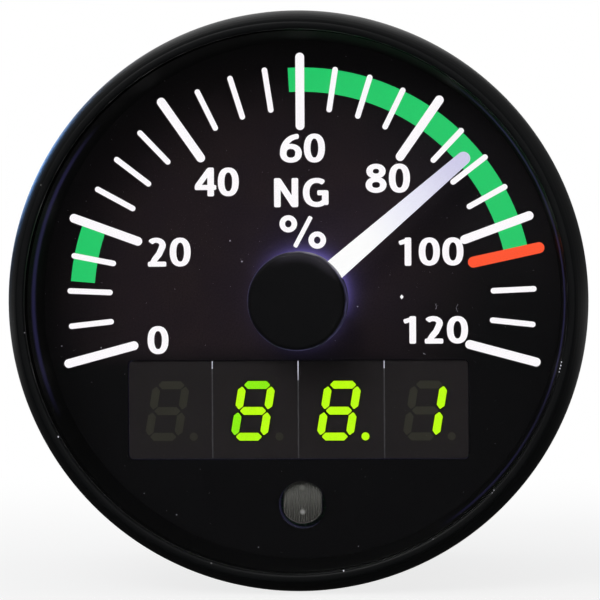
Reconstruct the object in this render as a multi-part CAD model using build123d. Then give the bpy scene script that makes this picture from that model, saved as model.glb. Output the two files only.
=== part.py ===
from build123d import *
import math
import os

# Gas generator speed gauge for a 2 1/4 inch hole in an instrument panel.
# Lengths are millimetres, angles are degrees. The pieces are drawn as the pilot sees the dial:
# X to the right, Y up, Z out of the panel towards the pilot, and zero at the panel's front face.
# Every finished piece is then stood up, so that +Z is up and the dial faces -Y.

# Case
case_radius = 28.45
case_wall = 1.4
case_depth = 42.0
flange_thickness = 0.7
rear_cover_thickness = 1.5
rear_seal_thickness = 0.5

# Bezel, which screws over the case's collar and clamps window, shroud, dial and light guide
bezel_overhang = 3.3
bezel_wall = 1.3
bezel_rear_chamfer = 0.4
bezel_rear_taper = 0.4
bezel_crown_height = 5.0
bezel_crown_inset = 1.4
bezel_edge_rounding = 0.35
lip_thickness = 0.8
lip_width = 0.7
glazing_step = 0.25
collar_wall = 0.7
collar_height = 5.0
collar_end_gap = 0.5
thread_clearance = 0.05
drop_in_clearance = 0.05

# Window and its seal
window_thickness = 2.0
seal_thickness = 0.4
window_gap = 0.8

# Dial and light guide
guide_thickness = 2.5
dial_thickness = 0.8
mark_depth = 0.25
shroud_foot = 0.95
shroud_lip_wall = 0.7
opening_clearance = 0.1
dial_centre_hole_radius = 4.4

# Scale, in per cent of rated speed
scale_zero_angle = 195.0
degrees_per_percent = 1.75
scale_top_pct = 120
major_every_pct = 20
minor_every_pct = 5
red_limit_pct = 104.5
normal_band_pct = (58.3, red_limit_pct)
low_band_pct = (11.4, 20.0)
scale_margin = 1.3
major_length = 8.55
major_width = 0.98
minor_inset = 1.3
minor_length = 5.06
minor_width = 0.62
band_inset = 0.33
band_width = 2.68
red_overrun = 0.17
red_length = 8.6
red_width = 1.22

# Pointer
pointer_reading_pct = 88.3
pointer_tip_inset = 2.75
pointer_base_width = 2.35
pointer_tip_width = 1.42
pointer_thickness = 1.2
pointer_lift = 3.0
hub_thickness = 2.0
hub_under_arm = 0.4
hub_boss_radius = 1.8
hub_boss_length = 1.2
cap_radius = 5.42
cap_wall = 0.6
cap_roof = 1.0
cap_headroom = 1.4
cap_edge_rounding = 0.45
slot_clearance = 0.1
shaft_radius = 0.75
shaft_end_gap = 0.4
running_clearance = 0.03

# Four digit modules
digit_count = 4
digit_pitch = 9.55
digit_gap = 0.12
digit_end_trim = 0.19
digit_corner_radius = 0.5
digit_module_height = 10.87
display_centre = (-0.41, -12.145)
digit_recess = 0.3
segment_depth = 0.4
glyph_offset = (-0.255, -0.135)
glyph_width = 3.24
glyph_height = 5.74
glyph_slant = 9.5
segment_width = 0.88
segment_tip_gap = 0.14
segment_tip_rounding = 0.14
point_offset = (2.67, -2.985)
point_radius = 0.45
digit_pin_width = 0.45
digit_pin_thickness = 0.25
digit_pin_pitch = 2.0
digit_pin_rows = 7.62
digit_pins_in_row = 5
digit_pin_length = 2.8

# Light sensor under the display
sensor_centre = (0.0, -22.45)
sensor_radius = 2.37
sensor_width = 4.19
sensor_thickness = 1.8
sensor_recess = 0.6
sensor_hole_clearance = 0.28
sensor_lead_spacing = 2.65
sensor_lead_offset = 0.25
sensor_lead_radius = 0.22
sensor_lead_head_radius = 0.36
sensor_lead_head_height = 0.12

# Boards
board_thickness = 1.6
board_clearance = 0.45
lamp_height = 1.6
lamp_length = 2.0
lamp_width = 1.25
lamp_gap = 0.5
lamp_ring_inset = 10.6
lamp_ring_count = 9
lamp_ring_span = 200.0
hub_lamp_radius = 4.0
hub_lamp_count = 3
solder_clearance = 0.12
processor_board_gap = 12.0
supply_board_standoff = 6.5

# Board fixings
boss_radius = 2.2
boss_inset = 2.05
front_boss_length = 5.0
rear_boss_length = 4.0
boss_notch_clearance = 0.6
screw_radius = 1.0
screw_clearance = 0.1
screw_head_radius = 1.8
screw_head_height = 1.2
screw_thread_length = 3.4
head_clearance = 0.5
cover_screw_angles = (0.0, 90.0, 180.0, 270.0)
rod_inset = 3.2
upper_rod_angles = (42.0, 138.0)
spacer_radius = 1.9
nut_across_flats = 4.0
nut_height = 1.6
rod_end = 0.6

# Stepping movement: output wheel, intermediate wheel and pinion, rotor with its pinion
gear_module = 0.2
pressure_angle = 20.0
output_teeth = 54
intermediate_pinion_teeth = 12
intermediate_teeth = 48
rotor_pinion_teeth = 12
wheel_addendum = 0.15
pinion_addendum = 0.2
root_clearance = 0.05
tooth_backlash = 0.035
intermediate_bearing_angle = 60.0
movement_wall = 1.0
movement_corner = 3.0
movement_inner_gap = 0.3
layer_gap = 0.6
output_wheel_thickness = 1.4
intermediate_wheel_thickness = 1.2
pinion_overlap = 0.2
wheel_web_thickness = 0.6
wheel_rim = 1.0
wheel_hub_radius = 1.6
arbor_radius = 0.4
sleeve_radius = 0.8
bush_radius = 1.7
bush_length = 3.4
magnet_radius = 2.6
magnet_thickness = 2.4
stator_air_gap = 0.3
stator_ring = 1.3
stator_thickness = 0.8
stator_arm_width = 1.6
coil_width = 4.4
coil_depth = 3.0
coil_length = 9.0
coil_flange = 0.5
coil_layer_gap = 0.6
terminal_radius = 0.3
stop_pin_radius = 0.4
stop_pin_path = 3.9
stop_pin_height = 0.35
stop_overtravel_angle = 2.5
stop_gap_angle = 0.5
stop_wall_thickness = 0.8

# Electronic parts on the boards
chip_size = 10.0
chip_thickness = 1.4
capacitor_radius = 3.15
capacitor_height = 10.0
capacitor_places = ((-8.0, -12.5), (8.0, -12.5))
header_width = 2.5
header_length = 13.0
header_places = ((-16.3, 2.5), (16.3, 2.5))

# Rear connector, nine ways
plug_width = 16.3
plug_height = 7.9
plug_side_angle = 80.0
plug_corner = 2.2
plug_wall = 0.4
plug_reach = 5.5
plug_flange_height = 12.5
plug_flange_end = 2.9
plug_flange_thickness = 0.8
plug_block_size = (19.2, 10.6)
plug_screw_spacing = 25.0
plug_clearance = 0.2
contact_pitch = 2.77
contact_rows = 2.84
contact_radius = 0.75
contact_bore_radius = 0.5
contact_bore_depth = 4.5
contact_tail_radius = 0.3
contact_tail_length = 2.0
jack_across_flats = 4.8
jack_length = 5.0
jack_shank_radius = 1.4
jack_bore_radius = 1.15
jack_bore_depth = 4.0

# Mounting studs on the rear cover
stud_radius = 2.0
stud_root_radius = 2.5
stud_spacing = 34.0
stud_reach = 14.0
stud_boss_radius = 4.0
stud_boss_height = 2.5
stud_chamfer = 0.4

half_turn = 180.0

# Radii that follow from the fits
case_bore = case_radius - case_wall
bezel_radius = case_radius + bezel_overhang
thread_bore_radius = bezel_radius - bezel_wall
collar_radius = thread_bore_radius - thread_clearance
collar_bore = collar_radius - collar_wall
glazing_radius = thread_bore_radius - glazing_step
lip_radius = glazing_radius - lip_width
dial_radius = collar_bore - drop_in_clearance * 2
window_radius = glazing_radius - drop_in_clearance
visible_radius = dial_radius - shroud_foot
shroud_mouth_radius = window_radius - shroud_lip_wall
board_radius = case_bore - board_clearance
fixing_radius = case_bore - boss_inset
rod_circle = board_radius - rod_inset
scale_radius = visible_radius - scale_margin
minor_radius = scale_radius - minor_inset
band_radius = minor_radius - band_inset
pointer_reach = scale_radius - pointer_tip_inset
lamp_ring_radius = dial_radius - lamp_ring_inset
hub_radius = cap_radius - cap_wall

# Heights in front of the panel
guide_back = flange_thickness
dial_back = guide_back + guide_thickness
dial_front = dial_back + dial_thickness
hub_back = dial_front + pointer_lift - hub_under_arm
arm_back = dial_front + pointer_lift
hub_front = hub_back + hub_thickness
roof_back = hub_front + cap_headroom
cap_front = roof_back + cap_roof
window_back = cap_front + window_gap
window_front = window_back + window_thickness
lip_back = window_front + seal_thickness
bezel_front = lip_back + lip_thickness
thread_end = collar_height + collar_end_gap
shroud_step = collar_height + collar_end_gap / 2
digit_front = dial_front - digit_recess
sensor_front = dial_front - sensor_recess

# Heights behind the panel, which are negative
display_board_front = guide_back - lamp_gap - lamp_height
display_board_back = display_board_front - board_thickness
processor_board_front = display_board_back - processor_board_gap
processor_board_back = processor_board_front - board_thickness
cover_back = -case_depth
cover_front = cover_back + rear_cover_thickness
case_end = cover_front + rear_seal_thickness
supply_board_back = cover_front + supply_board_standoff
supply_board_front = supply_board_back + board_thickness

# Layers of the movement, from its front wall back to its cover
movement_front = display_board_back
inner_front = movement_front - movement_wall
output_front = inner_front - layer_gap
output_back = output_front - output_wheel_thickness
intermediate_front = output_back - layer_gap
intermediate_back = intermediate_front - intermediate_wheel_thickness
magnet_front = intermediate_back - layer_gap
magnet_back = magnet_front - magnet_thickness
stator_middle = (magnet_front + magnet_back) / 2
movement_cover_front = magnet_back - coil_layer_gap - (coil_depth - magnet_thickness) / 2
movement_cover_back = movement_cover_front - movement_wall

# Gear centres
output_pitch_radius = gear_module * output_teeth / 2
intermediate_pinion_radius = gear_module * intermediate_pinion_teeth / 2
intermediate_pitch_radius = gear_module * intermediate_teeth / 2
rotor_pinion_radius = gear_module * rotor_pinion_teeth / 2
first_distance = output_pitch_radius + intermediate_pinion_radius
second_distance = intermediate_pitch_radius + rotor_pinion_radius


def polar(radius, angle):
    """Point at a distance from the middle, in a direction counted from +X."""
    return radius * math.cos(math.radians(angle)), radius * math.sin(math.radians(angle))


intermediate_centre = polar(first_distance, intermediate_bearing_angle)
rotor_lean = math.degrees(math.acos(intermediate_centre[0] / second_distance))
rotor_line_angle = half_turn - rotor_lean
rotor_centre = (0.0, intermediate_centre[1] + polar(second_distance, rotor_line_angle)[1])


def slab(outline, low, high):
    """A flat outline given a thickness between two heights."""
    return extrude(Pos(0, 0, low) * outline, amount=high - low)


def disc(radius, low, high, centre=(0, 0)):
    return slab(Pos(*centre) * Circle(radius), low, high)


def ring(outer, inner, low, high, centre=(0, 0)):
    return slab(Pos(*centre) * (Circle(outer) - Circle(inner)), low, high)


def block(width, height, low, high, centre=(0, 0)):
    return slab(Pos(*centre) * Rectangle(width, height), low, high)


def joined(pieces):
    """One body made of several that touch or overlap."""
    whole = pieces[0]
    for piece in pieces[1:]:
        whole = whole + piece
    return whole


def cut_all(body, tools):
    for tool in tools:
        body = body - tool
    return body


def save(name, *pieces):
    """Stands the pieces up and writes them as one node."""
    upright = Rot(90, 0, 0)
    placed = [upright * solid for piece in pieces for solid in piece.solids()]
    shape = placed[0] if len(placed) == 1 else Compound(placed)
    export_step(shape, os.path.join("parts", name + ".step"))


def places_on_circle(radius, angles):
    return [polar(radius, angle) for angle in angles]


def pair_at_height(radius, height):
    """Two points on a circle, left and right, at one height."""
    x = math.sqrt(radius * radius - height * height)
    return [(-x, height), (x, height)]


# Screws go above the middle and below the digits, and the lower rods just above the digits
fixing_reach = digit_module_height / 2 + screw_head_radius + head_clearance
board_screw_places = [(0, fixing_radius)]
board_screw_places += pair_at_height(fixing_radius, display_centre[1] - fixing_reach)
cover_screw_places = places_on_circle(fixing_radius, cover_screw_angles)
rod_places = places_on_circle(rod_circle, upper_rod_angles)
rod_places += pair_at_height(rod_circle, display_centre[1] + fixing_reach)
stud_places = [(0, stud_spacing / 2), (0, -stud_spacing / 2)]
plug_screw_places = [(plug_screw_spacing / 2, 0), (-plug_screw_spacing / 2, 0)]


# Case: a tube with a collar for the bezel and bosses for the display board and the rear cover
def case_end_outline():
    """Section of the tube at its rear end, with the four screw bosses grown onto the wall."""
    outline = Circle(case_radius) - Circle(case_bore)
    for place in cover_screw_places:
        outline = outline + Pos(*place) * Circle(boss_radius)
    outline = outline & Circle(case_radius)
    for place in cover_screw_places:
        outline = outline - Pos(*place) * Circle(screw_radius)
    return outline


def make_case():
    tube = ring(case_radius, case_bore, case_end, flange_thickness)
    flange = ring(collar_radius, case_bore, 0, flange_thickness)
    collar = ring(collar_radius, collar_bore, 0, collar_height)
    rear_bosses = slab(case_end_outline(), case_end, case_end + rear_boss_length)
    case = joined([tube, flange, collar, rear_bosses])
    boss_end = display_board_back - front_boss_length
    for place in board_screw_places:
        boss = disc(boss_radius, boss_end, display_board_back, place)
        case = case + (boss & disc(case_radius, boss_end, display_board_back))
    screw_end = display_board_back - screw_thread_length
    return cut_all(case, [disc(screw_radius, screw_end, display_board_back, p) for p in board_screw_places])


def make_rear_seal():
    return slab(case_end_outline(), cover_front, case_end)


def plug_outline(inset):
    """The D shape of the connector, drawn in by an inset."""
    height = plug_height - 2 * inset
    shape = Trapezoid(plug_width - 2 * inset, height, plug_side_angle)
    return fillet(shape.vertices(), plug_corner - inset)


def make_rear_cover():
    cover = disc(case_radius, cover_back, cover_front)
    for place in stud_places:
        cover = cover + disc(stud_boss_radius, cover_front, cover_front + stud_boss_height, place)
    cover = cover - slab(plug_outline(-plug_clearance), cover_back, cover_front)
    front = cover_front + stud_boss_height
    cover = cut_all(cover, [disc(stud_root_radius, cover_back, front, p) for p in stud_places])
    clear_radius = screw_radius + screw_clearance
    cover = cut_all(cover, [disc(clear_radius, cover_back, cover_front, p) for p in cover_screw_places])
    shank_hole = jack_shank_radius + screw_clearance
    return cut_all(cover, [disc(shank_hole, cover_back, cover_front, p) for p in plug_screw_places])


def make_cover_screws():
    """Pan head screws through the cover and its seal into the bosses."""
    screws = []
    for place in cover_screw_places:
        shank = disc(screw_radius, cover_back, case_end + screw_thread_length, place)
        head = disc(screw_head_radius, cover_back - screw_head_height, cover_back, place)
        screws.append(shank + head)
    return screws


# Front: bezel, seal, window and the shroud between window and dial
def make_bezel():
    crown_start = bezel_front - bezel_crown_height
    crown_end = (bezel_radius - bezel_crown_inset, bezel_front)
    rear_radius = bezel_radius - bezel_rear_taper
    outside = Polyline(
        (thread_bore_radius, 0),
        (rear_radius - bezel_rear_chamfer, 0),
        (rear_radius, bezel_rear_chamfer),
        (bezel_radius, crown_start),
    )
    crown = TangentArc((bezel_radius, crown_start), crown_end, tangent=(0, 1))
    inside = Polyline(
        crown_end,
        (lip_radius, bezel_front),
        (lip_radius, lip_back),
        (glazing_radius, lip_back),
        (glazing_radius, thread_end),
        (thread_bore_radius, thread_end),
        (thread_bore_radius, 0),
    )
    profile = make_face(outside.edges() + crown.edges() + inside.edges())
    bezel = revolve(Plane.XZ * profile, axis=Axis.Z)
    front_edges = bezel.edges().filter_by_position(Axis.Z, bezel_front - 0.01, bezel_front + 0.01)
    return fillet(front_edges, bezel_edge_rounding)


def make_window_seal():
    return ring(window_radius, lip_radius + drop_in_clearance, window_front, lip_back)


def make_window():
    return disc(window_radius, window_back, window_front)


def make_shroud():
    """A stepped ring whose inner wall opens like a cone from the dial to the window."""
    profile = Polyline(
        (visible_radius, dial_front),
        (dial_radius, dial_front),
        (dial_radius, shroud_step),
        (window_radius, shroud_step),
        (window_radius, window_back),
        (shroud_mouth_radius, window_back),
        close=True,
    )
    return revolve(Plane.XZ * make_face(profile.edges()), axis=Axis.Z)


# Dial: openings for the digits, the sensor and the pointer hub, and marks let into its face
display_width = digit_count * digit_pitch - digit_gap - 2 * digit_end_trim
sensor_hole_radius = sensor_radius + sensor_hole_clearance
sensor_hole_centre = (sensor_centre[0], sensor_centre[1] - sensor_hole_clearance)


def scale_angle(value):
    return scale_zero_angle - degrees_per_percent * value


def radial_mark(value, length, width, outer_end):
    """A stroke with round ends that points at the pointer's axis."""
    stroke = Pos(outer_end - length / 2, 0) * SlotOverall(length, width)
    return Rot(0, 0, scale_angle(value)) * stroke


def white_mark_outlines():
    outlines = []
    for value in range(0, scale_top_pct + 1, minor_every_pct):
        if abs(value - red_limit_pct) < minor_every_pct / 2:
            continue
        if value % major_every_pct == 0:
            outlines.append(radial_mark(value, major_length, major_width, scale_radius))
        else:
            outlines.append(radial_mark(value, minor_length, minor_width, minor_radius))
    return outlines


def red_mark_outline():
    return radial_mark(red_limit_pct, red_length, red_width, scale_radius + red_overrun)


def band_outline(start_value, end_value):
    """A piece of ring between two values on the scale."""
    first = scale_angle(end_value)
    last = scale_angle(start_value)
    middle = (first + last) / 2
    inner_radius = band_radius - band_width
    outer = ThreePointArc(polar(band_radius, first), polar(band_radius, middle), polar(band_radius, last))
    inner = ThreePointArc(polar(inner_radius, last), polar(inner_radius, middle), polar(inner_radius, first))
    sides = [Line(outer @ 1, inner @ 0), Line(inner @ 1, outer @ 0)]
    return make_face([outer, sides[0], inner, sides[1]])


def sensor_opening():
    return Pos(*sensor_hole_centre) * Circle(sensor_hole_radius)


def display_outline(clearance):
    """The row of digit modules with its rounded corners, larger all round by a clearance."""
    width = display_width + 2 * clearance
    height = digit_module_height + 2 * clearance
    return Pos(*display_centre) * RectangleRounded(width, height, digit_corner_radius + clearance)


def display_opening():
    return display_outline(opening_clearance)


def make_dial_and_marks():
    """The dial plate with its shallow pockets, and what fills them."""
    mark_back = dial_front - mark_depth
    whites = [slab(outline, mark_back, dial_front) for outline in white_mark_outlines()]
    red = slab(red_mark_outline(), mark_back, dial_front)
    bands = [slab(band_outline(*span), mark_back, dial_front) for span in (low_band_pct, normal_band_pct)]
    greens = [cut_all(band, whites + [red]) for band in bands]
    outline = Circle(dial_radius) - Circle(dial_centre_hole_radius)
    outline = outline - display_opening() - sensor_opening()
    plate = slab(outline, dial_back, dial_front)
    plate = cut_all(plate, whites + [red] + greens)
    return plate, whites, greens, red


def make_light_guide():
    outline = Circle(dial_radius) - Circle(bush_radius + opening_clearance)
    outline = outline - display_opening() - sensor_opening()
    return slab(outline, guide_back, dial_back)


# Pointer and its cap, which covers the hub
rest_angle = scale_angle(pointer_reading_pct)


def arm_outline():
    """Tapered arm with a round tip, drawn along +X."""
    tip_centre = pointer_reach - pointer_tip_width / 2
    taper = (pointer_base_width - pointer_tip_width) / 2 / (tip_centre - cap_radius)
    start = hub_boss_radius
    start_half = pointer_base_width / 2 + taper * (cap_radius - start)
    tip_half = pointer_tip_width / 2
    sides = Polyline((tip_centre, -tip_half), (start, -start_half), (start, start_half), (tip_centre, tip_half))
    tip = ThreePointArc((tip_centre, tip_half), (pointer_reach, 0), (tip_centre, -tip_half))
    return make_face(sides.edges() + tip.edges())


def make_pointer():
    arm = slab(arm_outline(), arm_back, arm_back + pointer_thickness)
    hub = disc(hub_radius, hub_back, hub_front)
    boss = disc(hub_boss_radius, hub_back - hub_boss_length, hub_back)
    pointer = joined([hub, arm, boss]) - disc(shaft_radius, hub_back - hub_boss_length, hub_front)
    return Rot(0, 0, rest_angle) * pointer


def make_pointer_cap():
    """A cup turned over the hub, with a slot in its skirt for the arm."""
    cap = disc(cap_radius, hub_back, cap_front)
    top_edge = cap.edges().filter_by_position(Axis.Z, cap_front - 0.01, cap_front + 0.01)
    cap = fillet(top_edge, cap_edge_rounding)
    cap = cap - disc(hub_radius, hub_back, roof_back)
    slot_width = pointer_base_width + 4 * slot_clearance
    slot_top = arm_back + pointer_thickness + slot_clearance
    slot = block(cap_radius, slot_width, hub_back, slot_top, (hub_radius + cap_radius / 2 - cap_wall, 0))
    return Rot(0, 0, rest_angle) * (cap - slot)


def make_pointer_shaft():
    return disc(shaft_radius, movement_cover_front - movement_wall / 2, hub_front + shaft_end_gap)


# Digit modules
def segment_outline(start, end):
    """A bar with pointed ends between two corners of the figure, before it is slanted."""
    length = math.dist(start, end) - 2 * segment_tip_gap
    half = segment_width / 2
    shoulder = length / 2 - half
    corners = [
        (length / 2, 0),
        (shoulder, half),
        (-shoulder, half),
        (-length / 2, 0),
        (-shoulder, -half),
        (shoulder, -half),
    ]
    bar = make_face(Polyline(*corners, close=True).edges())
    bar = fillet(bar.vertices(), segment_tip_rounding)
    turn = math.degrees(math.atan2(end[1] - start[1], end[0] - start[0]))
    middle = ((start[0] + end[0]) / 2, (start[1] + end[1]) / 2)
    return bar, turn, middle


def slanted(point):
    return point[0] + point[1] * math.tan(math.radians(glyph_slant)), point[1]


def segment_solids(module_centre):
    """The seven segments and the decimal point of one module, by their usual letters."""
    side = glyph_width / 2
    top = glyph_height / 2
    corners = {
        "a": ((-side, top), (side, top)),
        "b": ((side, 0), (side, top)),
        "c": ((side, -top), (side, 0)),
        "d": ((-side, -top), (side, -top)),
        "e": ((-side, -top), (-side, 0)),
        "f": ((-side, 0), (-side, top)),
        "g": ((-side, 0), (side, 0)),
    }
    glyph_centre = (module_centre[0] + glyph_offset[0], module_centre[1] + glyph_offset[1])
    back = digit_front - segment_depth
    solids = {}
    for letter, (start, end) in corners.items():
        bar, turn, middle = segment_outline(slanted(start), slanted(end))
        placed = Pos(glyph_centre[0] + middle[0], glyph_centre[1] + middle[1]) * Rot(0, 0, turn) * bar
        solids[letter] = slab(placed, back, digit_front)
    point_centre = (module_centre[0] + point_offset[0], module_centre[1] + point_offset[1])
    solids["point"] = disc(point_radius, back, digit_front, point_centre)
    return solids


def module_centres():
    first = display_centre[0] - digit_pitch * (digit_count - 1) / 2
    return [(first + digit_pitch * index, display_centre[1]) for index in range(digit_count)]


def digit_pin_places():
    half_row = digit_pin_pitch * (digit_pins_in_row - 1) / 2
    places = []
    for centre in module_centres():
        for row in (-1, 1):
            for index in range(digit_pins_in_row):
                x = centre[0] - half_row + digit_pin_pitch * index
                places.append((x, centre[1] + row * digit_pin_rows / 2))
    return places


def make_digit_body(centre, segments):
    """One module. The end ones are trimmed, and the row's corners rounded, to suit the dial's opening."""
    width = digit_pitch - digit_gap
    body = block(width, digit_module_height, display_board_front, digit_front, centre)
    body = body & slab(display_outline(0), display_board_front, digit_front)
    return cut_all(body, segments.values())


def digit_pins(clearance, low, high):
    width = digit_pin_width + 2 * clearance
    thickness = digit_pin_thickness + 2 * clearance
    return [block(width, thickness, low, high, place) for place in digit_pin_places()]


# Light sensor: a flat sided cell with two leads that show as bright dots on its face
def sensor_outline():
    return Circle(sensor_radius) & Rectangle(sensor_width, 2 * sensor_radius)


def sensor_lead_places():
    x = sensor_centre[0]
    middle = sensor_centre[1] + sensor_lead_offset
    return [(x, middle + sensor_lead_spacing / 2), (x, middle - sensor_lead_spacing / 2)]


def make_sensor():
    body = slab(Pos(*sensor_centre) * sensor_outline(), sensor_front - sensor_thickness, sensor_front)
    holes = [disc(sensor_lead_radius, dial_back - guide_thickness, sensor_front, p) for p in sensor_lead_places()]
    return cut_all(body, holes)


def make_sensor_leads():
    leads = []
    for place in sensor_lead_places():
        wire = disc(sensor_lead_radius, display_board_back - sensor_lead_spacing / 4, sensor_front, place)
        head_front = sensor_front + sensor_lead_head_height
        leads.append(wire + disc(sensor_lead_head_radius, sensor_front, head_front, place))
    return leads


# Boards and what stands on them
def terminal_places():
    """Where the movement's terminals rise from the coil flanges."""
    x = arm_centre_x + coil_width / 2 - 2 * terminal_radius
    ends = coil_length / 2 - coil_flange
    return [(side * x, coil_centre_y + end * ends) for side in (-1, 1) for end in (-1, 1)]


def board_outline(notched):
    outline = Circle(board_radius)
    for place in rod_places:
        outline = outline - Pos(*place) * Circle(screw_radius + screw_clearance)
    for place in board_screw_places:
        if notched:
            hole = boss_radius + boss_notch_clearance
        else:
            hole = screw_radius + screw_clearance
        outline = outline - Pos(*place) * Circle(hole)
    return outline


def make_display_board():
    outline = board_outline(notched=False) - Circle(bush_radius + opening_clearance)
    for place in terminal_places():
        outline = outline - Pos(*place) * Circle(terminal_radius + solder_clearance)
    for place in sensor_lead_places():
        outline = outline - Pos(*place) * Circle(sensor_lead_radius + solder_clearance)
    width = digit_pin_width + 2 * solder_clearance
    thickness = digit_pin_thickness + 2 * solder_clearance
    for place in digit_pin_places():
        outline = outline - Pos(*place) * Rectangle(width, thickness)
    return slab(outline, display_board_back, display_board_front)


def make_lamps():
    """Surface mounted lamps behind the scale, and three that light the pointer's hub."""
    step = lamp_ring_span / (lamp_ring_count - 1)
    ring_angles = [90 - lamp_ring_span / 2 + step * index for index in range(lamp_ring_count)]
    hub_angles = [90 + 360 / hub_lamp_count * index for index in range(hub_lamp_count)]
    spots = [(lamp_ring_radius, angle) for angle in ring_angles]
    spots += [(hub_lamp_radius, angle) for angle in hub_angles]
    lamp = block(lamp_width, lamp_length, display_board_front, display_board_front + lamp_height)
    return [Rot(0, 0, angle) * Pos(radius, 0, 0) * lamp for radius, angle in spots]


def make_board_screws():
    screws = []
    for place in board_screw_places:
        shank = disc(screw_radius, display_board_back - screw_thread_length, display_board_front, place)
        head = disc(screw_head_radius, display_board_front, display_board_front + screw_head_height, place)
        screws.append(shank + head)
    return screws


def make_processor_board():
    return slab(board_outline(notched=True), processor_board_back, processor_board_front)


def contact_places():
    """Five contacts above four, as on any nine way connector."""
    upper = [(contact_pitch * (index - 2), contact_rows / 2) for index in range(5)]
    lower = [(contact_pitch * (index - 1.5), -contact_rows / 2) for index in range(4)]
    return upper + lower


def make_supply_board():
    outline = board_outline(notched=True)
    for place in contact_places():
        outline = outline - Pos(*place) * Circle(contact_tail_radius + solder_clearance)
    return slab(outline, supply_board_back, supply_board_front)


def make_rods():
    end = supply_board_back - nut_height - rod_end
    rods = []
    for place in rod_places:
        shank = disc(screw_radius, end, display_board_front, place)
        head = disc(screw_head_radius, display_board_front, display_board_front + screw_head_height, place)
        rods.append(shank + head)
    return rods


def make_spacers():
    gaps = [(processor_board_front, display_board_back), (supply_board_front, processor_board_back)]
    bore = screw_radius + screw_clearance
    return [ring(spacer_radius, bore, low, high, place) for low, high in gaps for place in rod_places]


def make_rod_nuts():
    hexagon = RegularPolygon(nut_across_flats / 2, 6, major_radius=False) - Circle(screw_radius)
    low = supply_board_back - nut_height
    return [slab(Pos(*place) * hexagon, low, supply_board_back) for place in rod_places]


def make_chip():
    chip = block(chip_size, chip_size, processor_board_back - chip_thickness, processor_board_back)
    corner_edges = chip.edges().filter_by(Axis.Z)
    return chamfer(corner_edges, chip_thickness / 2)


def make_capacitors():
    top = supply_board_front + capacitor_height
    return [disc(capacitor_radius, supply_board_front, top, place) for place in capacitor_places]


# Movement: a moulded box behind the display board, with two coils and a train of three axes
def involute(angle):
    return math.tan(angle) - angle


def gear_outline(teeth, addendum, dedendum, phase):
    """A spur gear with involute flanks, one tooth's middle at the phase angle."""
    pitch_radius = gear_module * teeth / 2
    alpha = math.radians(pressure_angle)
    base_radius = pitch_radius * math.cos(alpha)
    tip_radius = pitch_radius + addendum
    root_radius = pitch_radius - dedendum
    flank_start = max(root_radius, base_radius)
    half_tooth = math.pi / (2 * teeth) - tooth_backlash / (2 * pitch_radius)

    def half_angle(radius):
        pressure = math.acos(min(1.0, base_radius / radius))
        return half_tooth + involute(alpha) - involute(pressure)

    def point(radius, angle):
        return radius * math.cos(angle), radius * math.sin(angle)

    flank_middle = (flank_start + tip_radius) / 2
    edges = []
    for tooth in range(teeth):
        middle = math.radians(phase) + 2 * math.pi * tooth / teeth
        following = middle + 2 * math.pi / teeth
        foot = half_angle(flank_start)
        centre = half_angle(flank_middle)
        tip = half_angle(tip_radius)
        right_foot = point(flank_start, middle - foot)
        left_foot = point(flank_start, middle + foot)
        right_tip = point(tip_radius, middle - tip)
        left_tip = point(tip_radius, middle + tip)
        right_root = point(root_radius, middle - foot)
        left_root = point(root_radius, middle + foot)
        if flank_start > root_radius:
            edges.append(Line(right_root, right_foot))
        edges.append(ThreePointArc(right_foot, point(flank_middle, middle - centre), right_tip))
        edges.append(Line(right_tip, left_tip))
        edges.append(ThreePointArc(left_tip, point(flank_middle, middle + centre), left_foot))
        if flank_start > root_radius:
            edges.append(Line(left_foot, left_root))
        edges.append(Line(left_root, point(root_radius, following - foot)))
    return make_face(edges)


def wheel_outline(teeth, phase):
    return gear_outline(teeth, wheel_addendum, pinion_addendum + root_clearance, phase)


def pinion_outline(teeth, phase):
    return gear_outline(teeth, pinion_addendum, wheel_addendum + root_clearance, phase)


def meshing_phase(driver_phase, driver_teeth, driven_teeth, line_angle):
    """Phase of a gear whose tooth gap meets the driver's tooth on the line of centres."""
    gap = line_angle + half_turn - (driver_phase - line_angle) * driver_teeth / driven_teeth
    return gap + half_turn / driven_teeth


output_phase = 0.0
intermediate_pinion_phase = meshing_phase(
    output_phase, output_teeth, intermediate_pinion_teeth, intermediate_bearing_angle
)
intermediate_phase = 0.0
rotor_phase = meshing_phase(
    intermediate_phase, intermediate_teeth, rotor_pinion_teeth, rotor_line_angle
)

# The coils stand clear of the stator's ring, and their terminals clear of the intermediate wheel
wheel_side = intermediate_centre[0] + intermediate_pitch_radius + wheel_addendum
terminal_x = wheel_side + movement_inner_gap + terminal_radius
ring_side = magnet_radius + stator_air_gap + stator_ring
arm_centre_x = max(ring_side + coil_width / 2, terminal_x + 2 * terminal_radius - coil_width / 2)
output_tip_radius = output_pitch_radius + wheel_addendum
inner_bottom = -(output_tip_radius + movement_inner_gap)
inner_top = rotor_centre[1] + magnet_radius + stator_air_gap + stator_ring + movement_inner_gap
inner_side = arm_centre_x + coil_width / 2 + movement_inner_gap
yoke_bottom = inner_bottom + movement_inner_gap
stator_arm_top = rotor_centre[1] + stator_arm_width / 2
coil_centre_y = (yoke_bottom + stator_arm_width + rotor_centre[1] - stator_arm_width / 2) / 2


def movement_outline(margin):
    """The movement's rounded box, drawn out from its inside by a margin."""
    width = 2 * (inner_side + margin)
    height = inner_top - inner_bottom + 2 * margin
    middle = (inner_top + inner_bottom) / 2
    return Pos(0, middle) * RectangleRounded(width, height, movement_corner - movement_wall + margin)


def stop_half_angle():
    """Half the arc that the stop wall fills, so that the pin meets it just past each end of the scale."""
    travel = degrees_per_percent * scale_top_pct + 2 * stop_overtravel_angle
    pin_half = math.degrees(math.asin(stop_pin_radius / stop_pin_path))
    return half_turn - travel / 2 - pin_half - stop_gap_angle


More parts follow.
